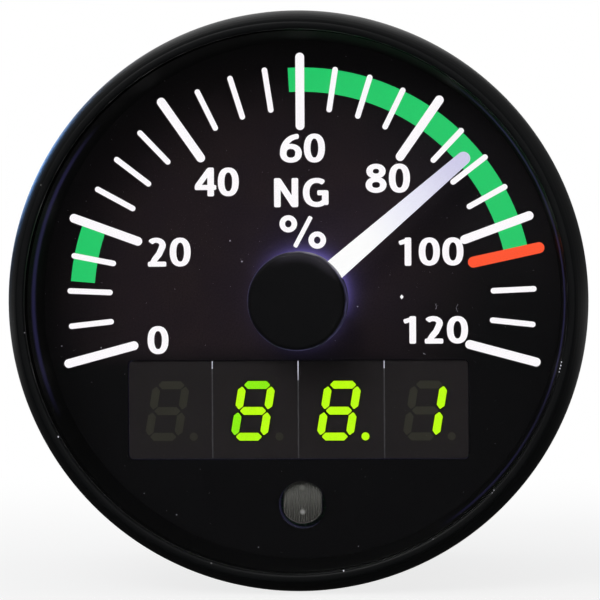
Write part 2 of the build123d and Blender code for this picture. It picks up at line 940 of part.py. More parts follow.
def stop_wall_outline():
    middle_of_travel = scale_angle(scale_top_pct / 2)
    stop_middle = middle_of_travel + half_turn
    first = stop_middle - stop_half_angle()
    last = stop_middle + stop_half_angle()
    outer_radius = stop_pin_path + stop_wall_thickness / 2
    inner_radius = stop_pin_path - stop_wall_thickness / 2
    outer = ThreePointArc(polar(outer_radius, first), polar(outer_radius, stop_middle), polar(outer_radius, last))
    inner = ThreePointArc(polar(inner_radius, last), polar(inner_radius, stop_middle), polar(inner_radius, first))
    return make_face([outer, Line(outer @ 1, inner @ 0), inner, Line(inner @ 1, outer @ 0)])


def make_movement_housing():
    """Box open at the back, with the shaft's bush, two arbor seats and the stop wall."""
    walls = slab(movement_outline(movement_wall), movement_cover_front, movement_front)
    cavity = slab(movement_outline(0), movement_cover_front, inner_front)
    bush = disc(bush_radius, inner_front, movement_front + bush_length)
    stop_wall = slab(stop_wall_outline(), output_front + layer_gap / 6, inner_front)
    housing = joined([walls - cavity, bush, stop_wall])
    housing = housing - disc(shaft_radius + running_clearance, inner_front, movement_front + bush_length)
    for centre in (intermediate_centre, rotor_centre):
        housing = housing - disc(arbor_radius, inner_front, inner_front + movement_wall / 2, centre)
    for place in terminal_places():
        hole = disc(terminal_radius, inner_front, movement_front, place)
        housing = housing - hole
    return housing


def make_movement_cover():
    cover = slab(movement_outline(movement_wall), movement_cover_back, movement_cover_front)
    seat = movement_cover_front - movement_wall / 2
    shaft_seat = disc(shaft_radius + running_clearance, seat, movement_cover_front)
    cover = cover - shaft_seat
    for centre in (intermediate_centre, rotor_centre):
        cover = cover - disc(arbor_radius, seat, movement_cover_front, centre)
    return cover


def make_arbor(centre):
    low = movement_cover_front - movement_wall / 2
    return disc(arbor_radius, low, inner_front + movement_wall / 2, centre)


def make_output_wheel():
    """Toothed rim, thin web and hub, with the pin that meets the stop wall."""
    wheel = slab(wheel_outline(output_teeth, output_phase), output_back, output_front)
    rim_bore = output_pitch_radius - wheel_rim
    web_front = output_front - (output_wheel_thickness - wheel_web_thickness) / 2
    web_back = web_front - wheel_web_thickness
    wheel = wheel - ring(rim_bore, wheel_hub_radius, web_front, output_front)
    wheel = wheel - ring(rim_bore, wheel_hub_radius, output_back, web_back)
    pin = disc(stop_pin_radius, web_front, output_front + stop_pin_height, polar(stop_pin_path, rest_angle))
    wheel = wheel + pin
    return wheel - disc(shaft_radius, output_back, output_front)


def make_intermediate_wheel():
    wheel = slab(
        wheel_outline(intermediate_teeth, intermediate_phase), intermediate_back, intermediate_front
    )
    rim_bore = intermediate_pitch_radius - wheel_rim
    web_back = intermediate_front - wheel_web_thickness
    wheel = wheel - ring(rim_bore, wheel_hub_radius, intermediate_back, web_back)
    pinion = slab(
        pinion_outline(intermediate_pinion_teeth, intermediate_pinion_phase),
        intermediate_front,
        output_front + pinion_overlap,
    )
    low = movement_cover_front + running_clearance
    high = inner_front - running_clearance
    sleeve = disc(sleeve_radius, low, high)
    train = joined([wheel, pinion, sleeve]) - disc(arbor_radius + running_clearance, low, high)
    return Pos(*intermediate_centre, 0) * train


def make_rotor():
    """Two pole magnet with its pinion, free on a fixed arbor."""
    magnet = disc(magnet_radius, magnet_back, magnet_front)
    pinion_top = intermediate_front + pinion_overlap
    pinion = slab(pinion_outline(rotor_pinion_teeth, rotor_phase), magnet_front, pinion_top)
    low = movement_cover_front + running_clearance
    high = inner_front - running_clearance
    sleeve = disc(sleeve_radius, low, high)
    rotor = joined([magnet, pinion, sleeve]) - disc(arbor_radius + running_clearance, low, high)
    return Pos(*rotor_centre, 0) * rotor


def make_stator():
    """Iron plate: a ring round the magnet, a leg through each coil and a yoke below."""
    low = stator_middle - stator_thickness / 2
    high = stator_middle + stator_thickness / 2
    bore = magnet_radius + stator_air_gap
    leg_height = stator_arm_top - yoke_bottom
    leg_middle = (stator_arm_top + yoke_bottom) / 2
    span = 2 * arm_centre_x + stator_arm_width
    outline = Pos(*rotor_centre) * Circle(bore + stator_ring)
    outline = outline + Pos(*rotor_centre) * Rectangle(span, stator_arm_width)
    outline = outline + Pos(0, yoke_bottom + stator_arm_width / 2) * Rectangle(span, stator_arm_width)
    for side in (-1, 1):
        outline = outline + Pos(side * arm_centre_x, leg_middle) * Rectangle(stator_arm_width, leg_height)
    outline = outline - Pos(*rotor_centre) * Circle(bore)
    return slab(outline, low, high)


def make_coil(side):
    """A winding between two flanges, with a slot for the stator's leg."""
    centre = (side * arm_centre_x, coil_centre_y)
    low = stator_middle - coil_depth / 2
    high = stator_middle + coil_depth / 2
    flange_drop = coil_flange
    winding = block(
        coil_width - 2 * flange_drop, coil_length, low + flange_drop, high - flange_drop, centre
    )
    lengthwise = winding.edges().filter_by(Axis.Y)
    coil = fillet(lengthwise, flange_drop)
    for end in (-1, 1):
        flange_y = centre[1] + end * (coil_length / 2 - coil_flange / 2)
        coil = coil + block(coil_width, coil_flange, low, high, (centre[0], flange_y))
    slot_low = stator_middle - stator_thickness / 2
    slot = block(stator_arm_width, coil_length, slot_low, slot_low + stator_thickness, centre)
    return coil - slot


def make_terminals():
    """Pins from the coil flanges through housing and board, where they are soldered."""
    low = stator_middle + coil_depth / 2
    high = display_board_front + terminal_radius
    return [disc(terminal_radius, low, high, place) for place in terminal_places()]


# Rear connector
plug_back = cover_back - plug_reach
plug_flange_back = cover_front
plug_flange_front = cover_front + plug_flange_thickness


def make_plug_shell():
    """Pressed shell: a flange behind the rear cover and a D shaped wall that reaches through it."""
    width = plug_screw_spacing + 2 * plug_flange_end
    flange = block(width, plug_flange_height, plug_flange_back, plug_flange_front)
    corners = flange.edges().filter_by(Axis.Z)
    flange = fillet(corners, plug_flange_thickness)
    wall = slab(plug_outline(0), plug_back, plug_flange_front)
    shell = flange + wall - slab(plug_outline(plug_wall), plug_back, plug_flange_front)
    return cut_all(
        shell,
        [disc(jack_shank_radius, plug_flange_back, plug_flange_front, p) for p in plug_screw_places],
    )


def contact_solids():
    """Turned sockets, each with a tail that goes through the supply board."""
    face = plug_back + plug_wall
    solids = []
    for place in contact_places():
        socket = disc(contact_radius, face, plug_flange_front, place)
        tail = disc(contact_tail_radius, plug_flange_front, supply_board_front + contact_tail_length / 4, place)
        solids.append(socket + tail)
    return solids


def make_contacts():
    face = plug_back + plug_wall
    bores = [disc(contact_bore_radius, face, face + contact_bore_depth, p) for p in contact_places()]
    return [solid - bore for solid, bore in zip(contact_solids(), bores)]


def make_insulator():
    core = slab(plug_outline(plug_wall), plug_back + plug_wall, plug_flange_front)
    back_block = block(*plug_block_size, plug_flange_front, supply_board_back)
    return cut_all(core + back_block, contact_solids())


def make_jack_screws():
    """Hexagonal posts that hold the connector and take the mating plug's screws."""
    screws = []
    for place in plug_screw_places:
        hexagon = Pos(*place) * RegularPolygon(jack_across_flats / 2, 6, major_radius=False)
        post = slab(hexagon, cover_back - jack_length, cover_back)
        shank = disc(jack_shank_radius, cover_back, plug_flange_front + jack_shank_radius / 2, place)
        bore_end = cover_back - jack_length + jack_bore_depth
        screws.append(post + shank - disc(jack_bore_radius, cover_back - jack_length, bore_end, place))
    return screws


def make_studs():
    """Shanks behind the cover, each with a thicker root pressed into its boss."""
    tip = cover_back - stud_reach
    studs = []
    for place in stud_places:
        shank = disc(stud_radius, tip, cover_back, place)
        tip_edge = shank.edges().filter_by_position(Axis.Z, tip - 0.01, tip + 0.01)
        shank = chamfer(tip_edge, stud_chamfer)
        root = disc(stud_root_radius, cover_back, cover_front + stud_boss_height, place)
        studs.append(shank + root)
    return studs


def header(low, high, centre):
    return block(header_width, header_length, low, high, centre)


# Write every node
os.makedirs("parts", exist_ok=True)
dial, white_marks, green_arcs, red_mark = make_dial_and_marks()
save("case", make_case())
save("rear_cover", make_rear_cover())
save("rear_seal", make_rear_seal())
save("cover_screws", *make_cover_screws())
save("bezel", make_bezel())
save("window", make_window())
save("window_seal", make_window_seal())
save("dial_shroud", make_shroud())
save("dial_plate", dial)
save("scale_marks", *white_marks)
save("green_arcs", *green_arcs)
save("red_limit_mark", red_mark)
save("light_guide", make_light_guide())
save("pointer", make_pointer())
save("pointer_cap", make_pointer_cap())
save("pointer_shaft", make_pointer_shaft())

all_segments = ("a", "b", "c", "d", "e", "f", "g", "point")
lit_segments = ((), ("a", "b", "c", "d", "e", "f", "g"), all_segments, ("b", "c"))
for index, centre in enumerate(module_centres()):
    segments = segment_solids(centre)
    prefix = "digit_" + str(index + 1)
    save(prefix + "_body", make_digit_body(centre, segments))
    lit = [segments[letter] for letter in all_segments if letter in lit_segments[index]]
    dark = [segments[letter] for letter in all_segments if letter not in lit_segments[index]]
    if lit:
        save(prefix + "_lit_segments", *lit)
    if dark:
        save(prefix + "_dark_segments", *dark)
save("digit_pins", *digit_pins(0, display_board_front - digit_pin_length, display_board_front))

save("light_sensor", make_sensor())
save("light_sensor_leads", *make_sensor_leads())
save("display_board", make_display_board())
save("backlight_lamps", *make_lamps())
save("board_screws", *make_board_screws())
save("processor_board", make_processor_board())
save("processor_chip", make_chip())
save("supply_board", make_supply_board())
save("filter_capacitors", *make_capacitors())
save("signal_header", header(processor_board_front, display_board_back, header_places[0]))
save("power_header", header(supply_board_front, processor_board_back, header_places[1]))
save("tie_rods", *make_rods())
save("board_spacers", *make_spacers())
save("tie_rod_nuts", *make_rod_nuts())

save("movement_housing", make_movement_housing())
save("movement_cover", make_movement_cover())
save("stator", make_stator())
save("left_coil", make_coil(-1))
save("right_coil", make_coil(1))
save("coil_terminals", *make_terminals())
save("output_wheel", make_output_wheel())
save("intermediate_wheel", make_intermediate_wheel())
save("intermediate_arbor", make_arbor(intermediate_centre))
save("rotor", make_rotor())
save("rotor_arbor", make_arbor(rotor_centre))

save("connector_shell", make_plug_shell())
save("connector_insulator", make_insulator())
save("connector_contacts", *make_contacts())
save("jack_screws", *make_jack_screws())
save("mounting_studs", *make_studs())
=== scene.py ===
# %% [markdown]
# # A gas generator speed gauge, dressed for its picture
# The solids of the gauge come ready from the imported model: case, bezel, dial, pointer, digits and all the
# works. This lesson gives them their finishes and adds what is too fine for solids: printed numerals, ribs on
# the light sensor, screw recesses, threads, wire, dust. Everything is in metres, +Z is up, the dial faces -Y.

# %% Load the solids
import math

import bmesh
import bpy
from mathutils import Matrix, Vector


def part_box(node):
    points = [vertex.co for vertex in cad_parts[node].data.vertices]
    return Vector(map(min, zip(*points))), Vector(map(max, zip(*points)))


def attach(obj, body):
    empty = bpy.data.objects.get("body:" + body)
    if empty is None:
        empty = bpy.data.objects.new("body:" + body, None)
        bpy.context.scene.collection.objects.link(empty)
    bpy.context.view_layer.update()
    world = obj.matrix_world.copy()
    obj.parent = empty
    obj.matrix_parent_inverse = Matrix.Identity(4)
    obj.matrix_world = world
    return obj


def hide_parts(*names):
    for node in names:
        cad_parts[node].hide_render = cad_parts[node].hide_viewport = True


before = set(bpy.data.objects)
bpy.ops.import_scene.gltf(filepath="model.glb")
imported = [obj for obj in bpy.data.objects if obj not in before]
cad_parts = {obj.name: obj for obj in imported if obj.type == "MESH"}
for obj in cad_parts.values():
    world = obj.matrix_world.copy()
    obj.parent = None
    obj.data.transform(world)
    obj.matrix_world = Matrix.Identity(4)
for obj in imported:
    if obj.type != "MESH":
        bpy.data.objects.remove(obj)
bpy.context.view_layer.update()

# %% [markdown]
# ## Where things are
# The dial is drawn as the pilot sees it: x to the right, z up, and a depth that counts forward from the
# panel. One small function turns such a place in millimetres into a point of the scene.

# %% Places in millimetres
MM = 0.001
dial_depth = -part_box("dial_plate")[0][1] / MM
digit_depth = -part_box("digit_1_body")[0][1] / MM
sensor_depth = -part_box("light_sensor")[0][1] / MM
cap_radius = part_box("pointer_cap")[1][0] / MM


def place(x, z, depth):
    """A point of the gauge, from its place on the dial and its depth in front of the panel."""
    return Vector((x * MM, -depth * MM, z * MM))


def new_object(name, data):
    """An object in the scene that shows a mesh, a lamp or a camera."""
    thing = bpy.data.objects.new(name, data)
    bpy.context.collection.objects.link(thing)
    return thing


print("dial at", round(dial_depth, 2), "digits at", round(digit_depth, 2), "sensor", round(sensor_depth, 2))

# %% [markdown]
# ## Camera
# The picture was taken from nearly straight ahead. The pointer's hub stands to the left of the dial's middle
# and a little low, which only fits a camera some degrees to the right and a little above. A long lens keeps
# the rim round. The camera could be placed by eye, but working out its three axes from the two angles makes
# it repeatable.

# %% Camera
camera_azimuth = math.radians(4.2)
camera_elevation = math.radians(1.2)
camera_roll = math.radians(0.34)
camera_distance = 0.450
picture_width = 600
pixels_per_mm = 9.022
aim_shift = (-1.5, -0.1)

backward = Vector((
    math.sin(camera_azimuth) * math.cos(camera_elevation),
    -math.cos(camera_azimuth) * math.cos(camera_elevation),
    math.sin(camera_elevation),
))
right = Vector((0, 0, 1)).cross(backward).normalized()
up = backward.cross(right)
turned_right = right * math.cos(camera_roll) - up * math.sin(camera_roll)
turned_up = up * math.cos(camera_roll) + right * math.sin(camera_roll)
aim = place(0, 0, dial_depth) + (turned_right * aim_shift[0] + turned_up * aim_shift[1]) * MM / pixels_per_mm

camera_data = bpy.data.cameras.new("camera")
camera_data.sensor_width = 36
camera_data.lens = pixels_per_mm / MM * camera_distance / picture_width * camera_data.sensor_width
camera = new_object("camera", camera_data)
axes = Matrix((turned_right, turned_up, backward)).transposed()
camera.matrix_world = Matrix.Translation(aim + backward * camera_distance) @ axes.to_4x4()
bpy.context.scene.camera = camera
bpy.context.scene.view_settings.view_transform = "Standard"
print("lens", round(camera_data.lens, 1), "mm")

# %% [markdown]
# ## Small tools for nodes
# Every finish below is a tree of nodes. Written node by node, even a short sum fills a page. So a wire stands
# for what comes out of a node, and arithmetic with wires adds the nodes that do it.

# %% Wires and nodes
class Wire:
    """What comes out of a node. A sum or product of wires adds the node that works it out."""

    def __init__(self, socket):
        self.socket = socket
        self.tree = socket.id_data

    def __add__(self, other):
        return maths("ADD", self, other)

    def __sub__(self, other):
        return maths("SUBTRACT", self, other)

    def __rsub__(self, other):
        return maths("SUBTRACT", other, self)

    def __mul__(self, other):
        return maths("MULTIPLY", self, other)

    def __truediv__(self, other):
        return maths("DIVIDE", self, other)

    def __gt__(self, other):
        return maths("GREATER_THAN", self, other)

    def __lt__(self, other):
        return maths("LESS_THAN", self, other)

    def __abs__(self):
        return maths("ABSOLUTE", self)


class Node:
    """A node in a tree. node["Name"] or node[0] is the wire from one of its outputs."""

    def __init__(self, made):
        self.inputs = made.inputs
        self.outputs = made.outputs

    def __getitem__(self, output):
        return Wire(self.outputs[output])


def fill(node, inputs):
    """Gives inputs of a node their plain values, or links wires to them."""
    for key, value in inputs.items():
        socket = node.inputs[key]
        if isinstance(value, Wire):
            value.tree.links.new(value.socket, socket)
        else:
            socket.default_value = value


def add(tree, kind, inputs=None, **settings):
    """A new node with its settings and inputs."""
    made = tree.nodes.new(kind)
    for key, value in settings.items():
        setattr(made, key, value)
    fill(made, inputs or {})
    return Node(made)


def maths(operation, first, second=0.0, clamp=False):
    """One step of arithmetic, at least one side of which is a wire."""
    tree = first.tree if isinstance(first, Wire) else second.tree
    return add(tree, "ShaderNodeMath", {0: first, 1: second}, operation=operation, use_clamp=clamp)[0]


def largest(first, *others):
    """The largest of several wires."""
    for other in others:
        first = maths("MAXIMUM", first, other)
    return first


def ramped(value, low, high, to_low=0.0, to_high=1.0):
    """A value stretched from one span to another and held inside it, with soft ends."""
    return add(value.tree, "ShaderNodeMapRange", {0: value, 1: low, 2: high, 3: to_low, 4: to_high},
               interpolation_type="SMOOTHSTEP")[0]


def blended(factor, first, second):
    """Two colours mixed by a factor."""
    return add(factor.tree, "ShaderNodeMix", {0: factor, 6: first, 7: second}, data_type="RGBA")[2]


def scaled(colour, factor):
    """A colour made brighter or darker by a factor."""
    colour = colour if isinstance(colour, Wire) else colour[:3]
    return add(factor.tree, "ShaderNodeVectorMath", {0: colour, "Scale": factor}, operation="SCALE")[0]


def vector(tree, x=0.0, y=0.0, z=0.0):
    """A vector put together from its three parts."""
    return add(tree, "ShaderNodeCombineXYZ", {0: x, 1: y, 2: z})[0]


def parts_of(whole):
    """The three parts of a vector."""
    split = add(whole.tree, "ShaderNodeSeparateXYZ", {0: whole})
    return split[0], split[1], split[2]


print("node helpers ready")

# %% Colours, and places and noise in millimetres
def grey(level):
    """A plain grey."""
    return (level, level, level, 1)


def shade(red, green, blue):
    """A colour written as on a screen, from 0 to 255, turned into the linear values that nodes use."""
    linear = []
    for part in (red, green, blue):
        part = part / 255
        linear.append(part / 12.92 if part <= 0.04045 else ((part + 0.055) / 1.055) ** 2.4)
    return (*linear, 1)


def in_millimetres(tree):
    """The place on the piece, in millimetres."""
    where = add(tree, "ShaderNodeTexCoord")["Object"]
    return add(tree, "ShaderNodeVectorMath", {0: where, "Scale": 1 / MM}, operation="SCALE")[0]


def noise(tree, scale, detail, at=None):
    """Soft noise with so many grains a millimetre."""
    return add(tree, "ShaderNodeTexNoise", {
        "Vector": at or in_millimetres(tree), "Scale": scale, "Detail": detail})[0]


def new_material(name):
    """A plain material with a tree of nodes."""
    material = bpy.data.materials.new(name)
    material.use_nodes = True
    return material


def shader_of(material):
    """The main shader of a material."""
    return Node(material.node_tree.nodes["Principled BSDF"])


def give_light(material, colour, strength=1.0):
    """Makes a material shine by itself. At a strength of one the colour shows as it is written."""
    fill(shader_of(material), {"Emission Color": colour, "Emission Strength": strength})


print("a screen grey of 128 is", round(shade(128, 128, 128)[0], 3), "for the nodes")

# %% [markdown]
# ## Effects that several finishes share
# Grain, dust, turned rings and the place on the dial are needed again and again. Each is a node group, built
# once, with named sockets, so that every finish sets its own strength. They all start from Object
# coordinates, which stick to the piece, turned into millimetres, so a scale of 4 is four grains a millimetre.

# %% A group with named sockets
def socket_kind(title):
    """Colours are called Colour. Everything else in the groups is a number."""
    return "NodeSocketColor" if title == "Colour" else "NodeSocketFloat"


def new_group(name, inputs, outputs):
    """An empty group, its inputs with their usual values, and its two end nodes."""
    group = bpy.data.node_groups.new(name, "ShaderNodeTree")
    for title, value in inputs.items():
        socket = group.interface.new_socket(title, in_out="INPUT", socket_type=socket_kind(title))
        socket.default_value = value
    for title in outputs:
        group.interface.new_socket(title, in_out="OUTPUT", socket_type=socket_kind(title))
    print("group:", name)
    return group, add(group, "NodeGroupInput"), add(group, "NodeGroupOutput")


# %% Grain: uneven colour, uneven gloss and a fine height
grain, given, outcome = new_group(
    "fine_grain",
    {"Colour": grey(0.5), "Grains per mm": 4.0, "Variation": 0.2, "Roughness": 0.5,
     "Roughness variation": 0.1},
    ["Colour", "Roughness", "Height"])
fine_share, coarse_share, coarse_per_mm = 0.65, 0.35, 0.35
fine = noise(grain, given["Grains per mm"], 3.0)
uneven = (fine * fine_share + noise(grain, coarse_per_mm, 2.0) * coarse_share - 0.5) * 4.0
fill(outcome, {
    "Colour": scaled(given["Colour"], uneven * given["Variation"] + 1.0),
    "Roughness": maths("ADD", given["Roughness"], uneven * given["Roughness variation"], clamp=True),
    "Height": fine})

# %% Place on the dial: radius, height above the middle, depth, and how far round it is from a direction
around, given, outcome = new_group(
    "place_on_dial", {"Direction": 0.0}, ["Radius", "Right", "Up", "Depth", "Facing direction"])
x, y, z = parts_of(in_millimetres(around))
radius = maths("SQRT", x * x + z * z)
turn = maths("RADIANS", given["Direction"])
along = x * maths("COSINE", turn) + z * maths("SINE", turn)
fill(outcome, {"Radius": radius, "Right": x, "Up": z, "Depth": y * -1.0,
               "Facing direction": along / maths("MAXIMUM", radius, 0.001)})


def on_dial(tree, direction=0.0):
    """The place on the dial, as seen from a direction in degrees."""
    return add(tree, "ShaderNodeGroup", {"Direction": direction}, node_tree=around)


# %% Dust: rare small dots, each cell of the pattern either has one or not
dust, given, outcome = new_group(
    "dust_dots", {"Cells per mm": 1.2, "Dot size": 0.12, "Share of cells": 0.1}, ["Mask"])
cells = add(dust, "ShaderNodeTexVoronoi", {"Vector": in_millimetres(dust), "Scale": given["Cells per mm"]})
chosen = add(dust, "ShaderNodeSeparateColor", {0: cells["Color"]})[0] < given["Share of cells"]
fill(outcome, {"Mask": (cells["Distance"] < given["Dot size"]) * chosen})

# %% Turned rings: the fine circles that a lathe leaves, round the gauge's own axis
turned, given, outcome = new_group("turned_rings", {"Rings per mm": 6.0}, ["Height"])
spot = on_dial(turned)
stretched = vector(turned, spot["Radius"] * given["Rings per mm"], spot["Depth"] * given["Rings per mm"])
fill(outcome, {"Height": noise(turned, 1.0, 2.0, stretched)})

# %% [markdown]
# ## Plain finishes
# Paint, moulded plastic, rubber and metal differ in colour, gloss and grain, not in kind. One function builds
# all of them from the grain group, with a little dust where it settles and turned rings where a part came off
# a lathe. A second one puts a finish on the solids it belongs to.

# %% A finish from grain, dust and rings
dust_level = 0.12
relief_depth = 0.02
gloss_variation = 0.06


def finish(name, colour, roughness=0.5, metallic=0.0, grains=4.0, variation=0.15, bump=0.15, dusty=0.0,
           rings=0.0, specular=0.5, coat=0.0):
    """A material for paint, plastic, rubber or metal."""
    material = new_material(name)
    tree = material.node_tree
    base = add(tree, "ShaderNodeGroup", {
        "Colour": colour, "Grains per mm": grains, "Variation": variation, "Roughness": roughness,
        "Roughness variation": gloss_variation}, node_tree=grain)
    tint = base["Colour"]
    height = base["Height"]
    if dusty > 0:
        dots = add(tree, "ShaderNodeGroup", {"Share of cells": dusty}, node_tree=dust)
        tint = blended(dots["Mask"], tint, grey(dust_level))
    if rings > 0:
        circles = add(tree, "ShaderNodeGroup", {"Rings per mm": rings}, node_tree=turned)
        height = height + circles["Height"]
    relief = add(tree, "ShaderNodeBump", {"Height": height, "Strength": bump, "Distance": relief_depth * MM})
    fill(shader_of(material), {
        "Base Color": tint, "Roughness": base["Roughness"], "Normal": relief[0], "Metallic": metallic,
        "Specular IOR Level": specular, "Coat Weight": coat})
    return material


def dress(material, *nodes):
    """Gives CAD solids a finish through their own material slots."""
    for name in nodes:
        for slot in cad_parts[name].material_slots:
            slot.material = material


print("a finish has", dust_level, "grey dust and", relief_depth, "mm of relief")

# %% Paint, rubber and mouldings
satin_black = finish("satin_black_paint", shade(13, 14, 15), 0.38, grains=7, variation=0.3, bump=0.3,
                     dusty=0.012, specular=0.13)
dress(finish("black_anodised_case", shade(52, 53, 57), 0.36, 0.25, grains=5, rings=5, bump=0.3, coat=0.25),
      "case")
dress(finish("black_cover_paint", shade(44, 45, 47), 0.5, grains=6, variation=0.2, bump=0.5, dusty=0.02),
      "rear_cover")
dress(finish("black_rubber", shade(20, 20, 21), 0.85, grains=3, variation=0.3, bump=0.4),
      "window_seal", "rear_seal")
dress(finish("black_moulding", shade(22, 22, 23), 0.55, grains=5, bump=0.3),
      "connector_insulator", "signal_header", "power_header", "movement_cover")
dress(finish("white_moulding", shade(222, 219, 208), 0.5, grains=3, variation=0.05), "movement_housing")
dress(finish("white_gears", shade(232, 230, 222), 0.35, variation=0.04, bump=0.1, coat=0.1),
      "output_wheel", "intermediate_wheel")
dress(finish("capacitor_can", shade(24, 30, 46), 0.35, grains=2, variation=0.08, bump=0.1, coat=0.2),
      "filter_capacitors")
dress(finish("chip_package", shade(30, 30, 31), 0.6, grains=12, variation=0.2, bump=0.4), "processor_chip")
print("paints and mouldings:", len(bpy.data.materials))

# %% Metals
steel = finish("zinc_plated_steel", shade(186, 188, 190), 0.38, 0.8, grains=9, variation=0.08, bump=0.12)
dress(steel, "cover_screws", "board_screws", "tie_rods", "tie_rod_nuts", "intermediate_arbor", "rotor_arbor",
      "pointer_shaft", "jack_screws", "mounting_studs")
dress(finish("bright_spacers", shade(196, 198, 200), 0.25, 1.0, grains=6, variation=0.06), "board_spacers")
tin = finish("tinned_pins", shade(205, 205, 200), 0.32, 1.0, grains=10, variation=0.1, bump=0.2)
dress(tin, "digit_pins", "coil_terminals")
dress(finish("tinned_shell", shade(204, 203, 196), 0.34, 0.85, grains=5, variation=0.12, bump=0.2),
      "connector_shell")
dress(finish("gold_contacts", shade(233, 190, 96), 0.22, 1.0, grains=8, variation=0.08), "connector_contacts")
dress(finish("stator_iron", shade(112, 113, 116), 0.45, 1.0, grains=6, bump=0.25), "stator")
dress(finish("rotor_magnet", shade(52, 50, 50), 0.6, 0.2, grains=8, variation=0.2, bump=0.3), "rotor")
print("plain finishes:", len(bpy.data.materials))

# %% [markdown]
# ## Window
# The window is clear glass, 2 mm thick. Glass is the shader's transmission with its refraction; the smudges
# on it only change how rough it is. Light should still reach the dial without slow caustics, so rays that
# look for a lamp pass straight through it.

# %% Glass
refraction = 1.46
smudges_per_mm, smudge_roughness = 0.12, 0.03
glass = new_material("window_glass")
tree = glass.node_tree
shader = shader_of(glass)
smudges = ramped(noise(tree, smudges_per_mm, 4.0), 0.5, 0.8, 0.0, smudge_roughness)
fill(shader, {"Transmission Weight": 1.0, "IOR": refraction, "Base Color": grey(1.0), "Roughness": smudges})
clear = add(tree, "ShaderNodeBsdfTransparent")
rays = add(tree, "ShaderNodeLightPath")
either = add(tree, "ShaderNodeMixShader", {0: rays["Is Shadow Ray"], 1: shader[0], 2: clear[0]})
fill(tree.nodes["Material Output"], {0: either[0]})
dress(glass, "window")
print("window:", glass.name)

# %% [markdown]
# ## Dial
# The dial is black paint over a clear sheet. Its colour carries painted light: a finely mottled brownish
# middle is painted backlight, as if the light behind it came through, and towards the rim and below it is
# painted a deeper black, which is itself painted lighter at the top and darker below. Round the hub the
# lamps leak past the pointer as a blue violet glow that fades within a millimetre or two and is strongest at
# the upper right. The glow is painted as light given off by the surface, by distance from the axis, so it
# holds from any side.

# %% Dial paint
light_middle = (-6.0, 0.0, 4.0)
darker_from_light = (13.0, 29.0)
darker_to_rim = (23.5, 29.5)
darker_below = (-4.5, -8.0)
mottles_per_mm, patches_per_mm = 5.5, 0.16

dial_paint = new_material("dial_paint")
tree = dial_paint.node_tree
here = on_dial(tree, 66.0)
mottle = noise(tree, mottles_per_mm, 4.0)
from_light = add(tree, "ShaderNodeVectorMath", {0: in_millimetres(tree), 1: light_middle},
                 operation="DISTANCE")["Value"]
# Painted shade: darker away from the painted backlight in the middle, towards the rim and below.
darker = largest(ramped(from_light, *darker_from_light), ramped(here["Radius"], *darker_to_rim),
                 ramped(here["Up"], *darker_below))
patches = ramped(noise(tree, patches_per_mm, 2.0), 0.3, 0.7)
# Painted light: the brown is painted backlight, and the black is painted lighter at the top and darker below.
painted_backlight_brown = blended(patches, shade(34, 26, 32), shade(39, 30, 33))
black = blended(ramped(here["Up"], -8.0, 18.0), shade(7, 7, 9), shade(26, 23, 26))
speckled = scaled(blended(darker, painted_backlight_brown, black), ramped(mottle, 0.3, 0.7, 0.75, 1.25))
relief = add(tree, "ShaderNodeBump", {"Height": mottle, "Strength": 0.12, "Distance": 0.01 * MM})
fill(shader_of(dial_paint), {
    "Base Color": speckled, "Roughness": 0.7, "Specular IOR Level": 0.06, "Normal": relief[0]})
print("dial:", dial_paint.name)

# %% Glow round the hub
close_fade, close_side, close_round = -1.9, 0.92, 0.1
wide_fade, wide_side, wide_round = -0.35, 0.05, 0.01
glow_end, glow_full = 14.0, 6.0
from_cap = here["Radius"] - cap_radius
to_side = maths("MAXIMUM", here["Facing direction"], 0.0)
close_glow = maths("EXPONENT", from_cap * close_fade) * (to_side * close_side + close_round)
wide_glow = maths("EXPONENT", from_cap * wide_fade) * (to_side * wide_side + wide_round)
glow = (close_glow + wide_glow) * ramped(from_cap, glow_end, glow_full)
give_light(dial_paint, scaled(shade(78, 70, 134), glow))
dress(dial_paint, "dial_plate")
print("the glow starts", round(cap_radius, 2), "mm from the axis")

# %% [markdown]
# ## Lit marks, pointer and digits
# The strokes, the pointer and the digits shine by themselves, so their finish is light given off. At a
# strength of one a colour shows as it is written, and a little more makes up for what the window takes. The
# surface under the light is nearly black: otherwise the studio lamps would be added to it and wash it out. A
# fine mottle keeps the light from being dead even.

# %% A finish that shines
window_loss = 1.07
under_light = grey(0.004)


def shining(name, colour, roughness=0.4, grains=6.0, unevenness=0.06):
    """A self lit material. Its colour is plain, or a function that makes it from the place on the dial."""
    material = new_material(name)
    tree = material.node_tree
    if callable(colour):
        colour = colour(on_dial(tree))
    level = ramped(noise(tree, grains, 2.0), 0.25, 0.75, 1.0 - unevenness, 1.0)
    give_light(material, scaled(colour, level), window_loss)
    fill(shader_of(material), {"Base Color": under_light, "Roughness": roughness, "Specular IOR Level": 0.2})
    return material


def pointer_light(spot):
    """White where the hub's lamps feed the arm, then lavender towards the tip."""
    to_middle = ramped(spot["Radius"], 9.0, 17.0)
    to_tip = ramped(spot["Radius"], 15.0, 24.0)
    near_hub = blended(to_middle, shade(255, 255, 255), shade(236, 236, 250))
    return blended(to_tip, near_hub, shade(208, 205, 234))


white_light = shining("white_light", shade(255, 252, 255))
dress(white_light, "scale_marks")
dress(shining("green_light", shade(33, 200, 105)), "green_arcs")
dress(shining("red_light", shade(254, 84, 46)), "red_limit_mark")
dress(shining("pointer_light", pointer_light, roughness=0.3), "pointer")
print("marks, bands, limit and pointer shine")

# %% [markdown]
# ## Seven segment digits
# Each digit is a moulded block with a dark grey face. Its lit segments are yellow green, but in the first lit
# digit the top, lower left and bottom bars come out greener, as differing chips do. Those bars are found by
# their place from the middle of the figure, leaned as the figure leans. Unlit segments show as faint olive.

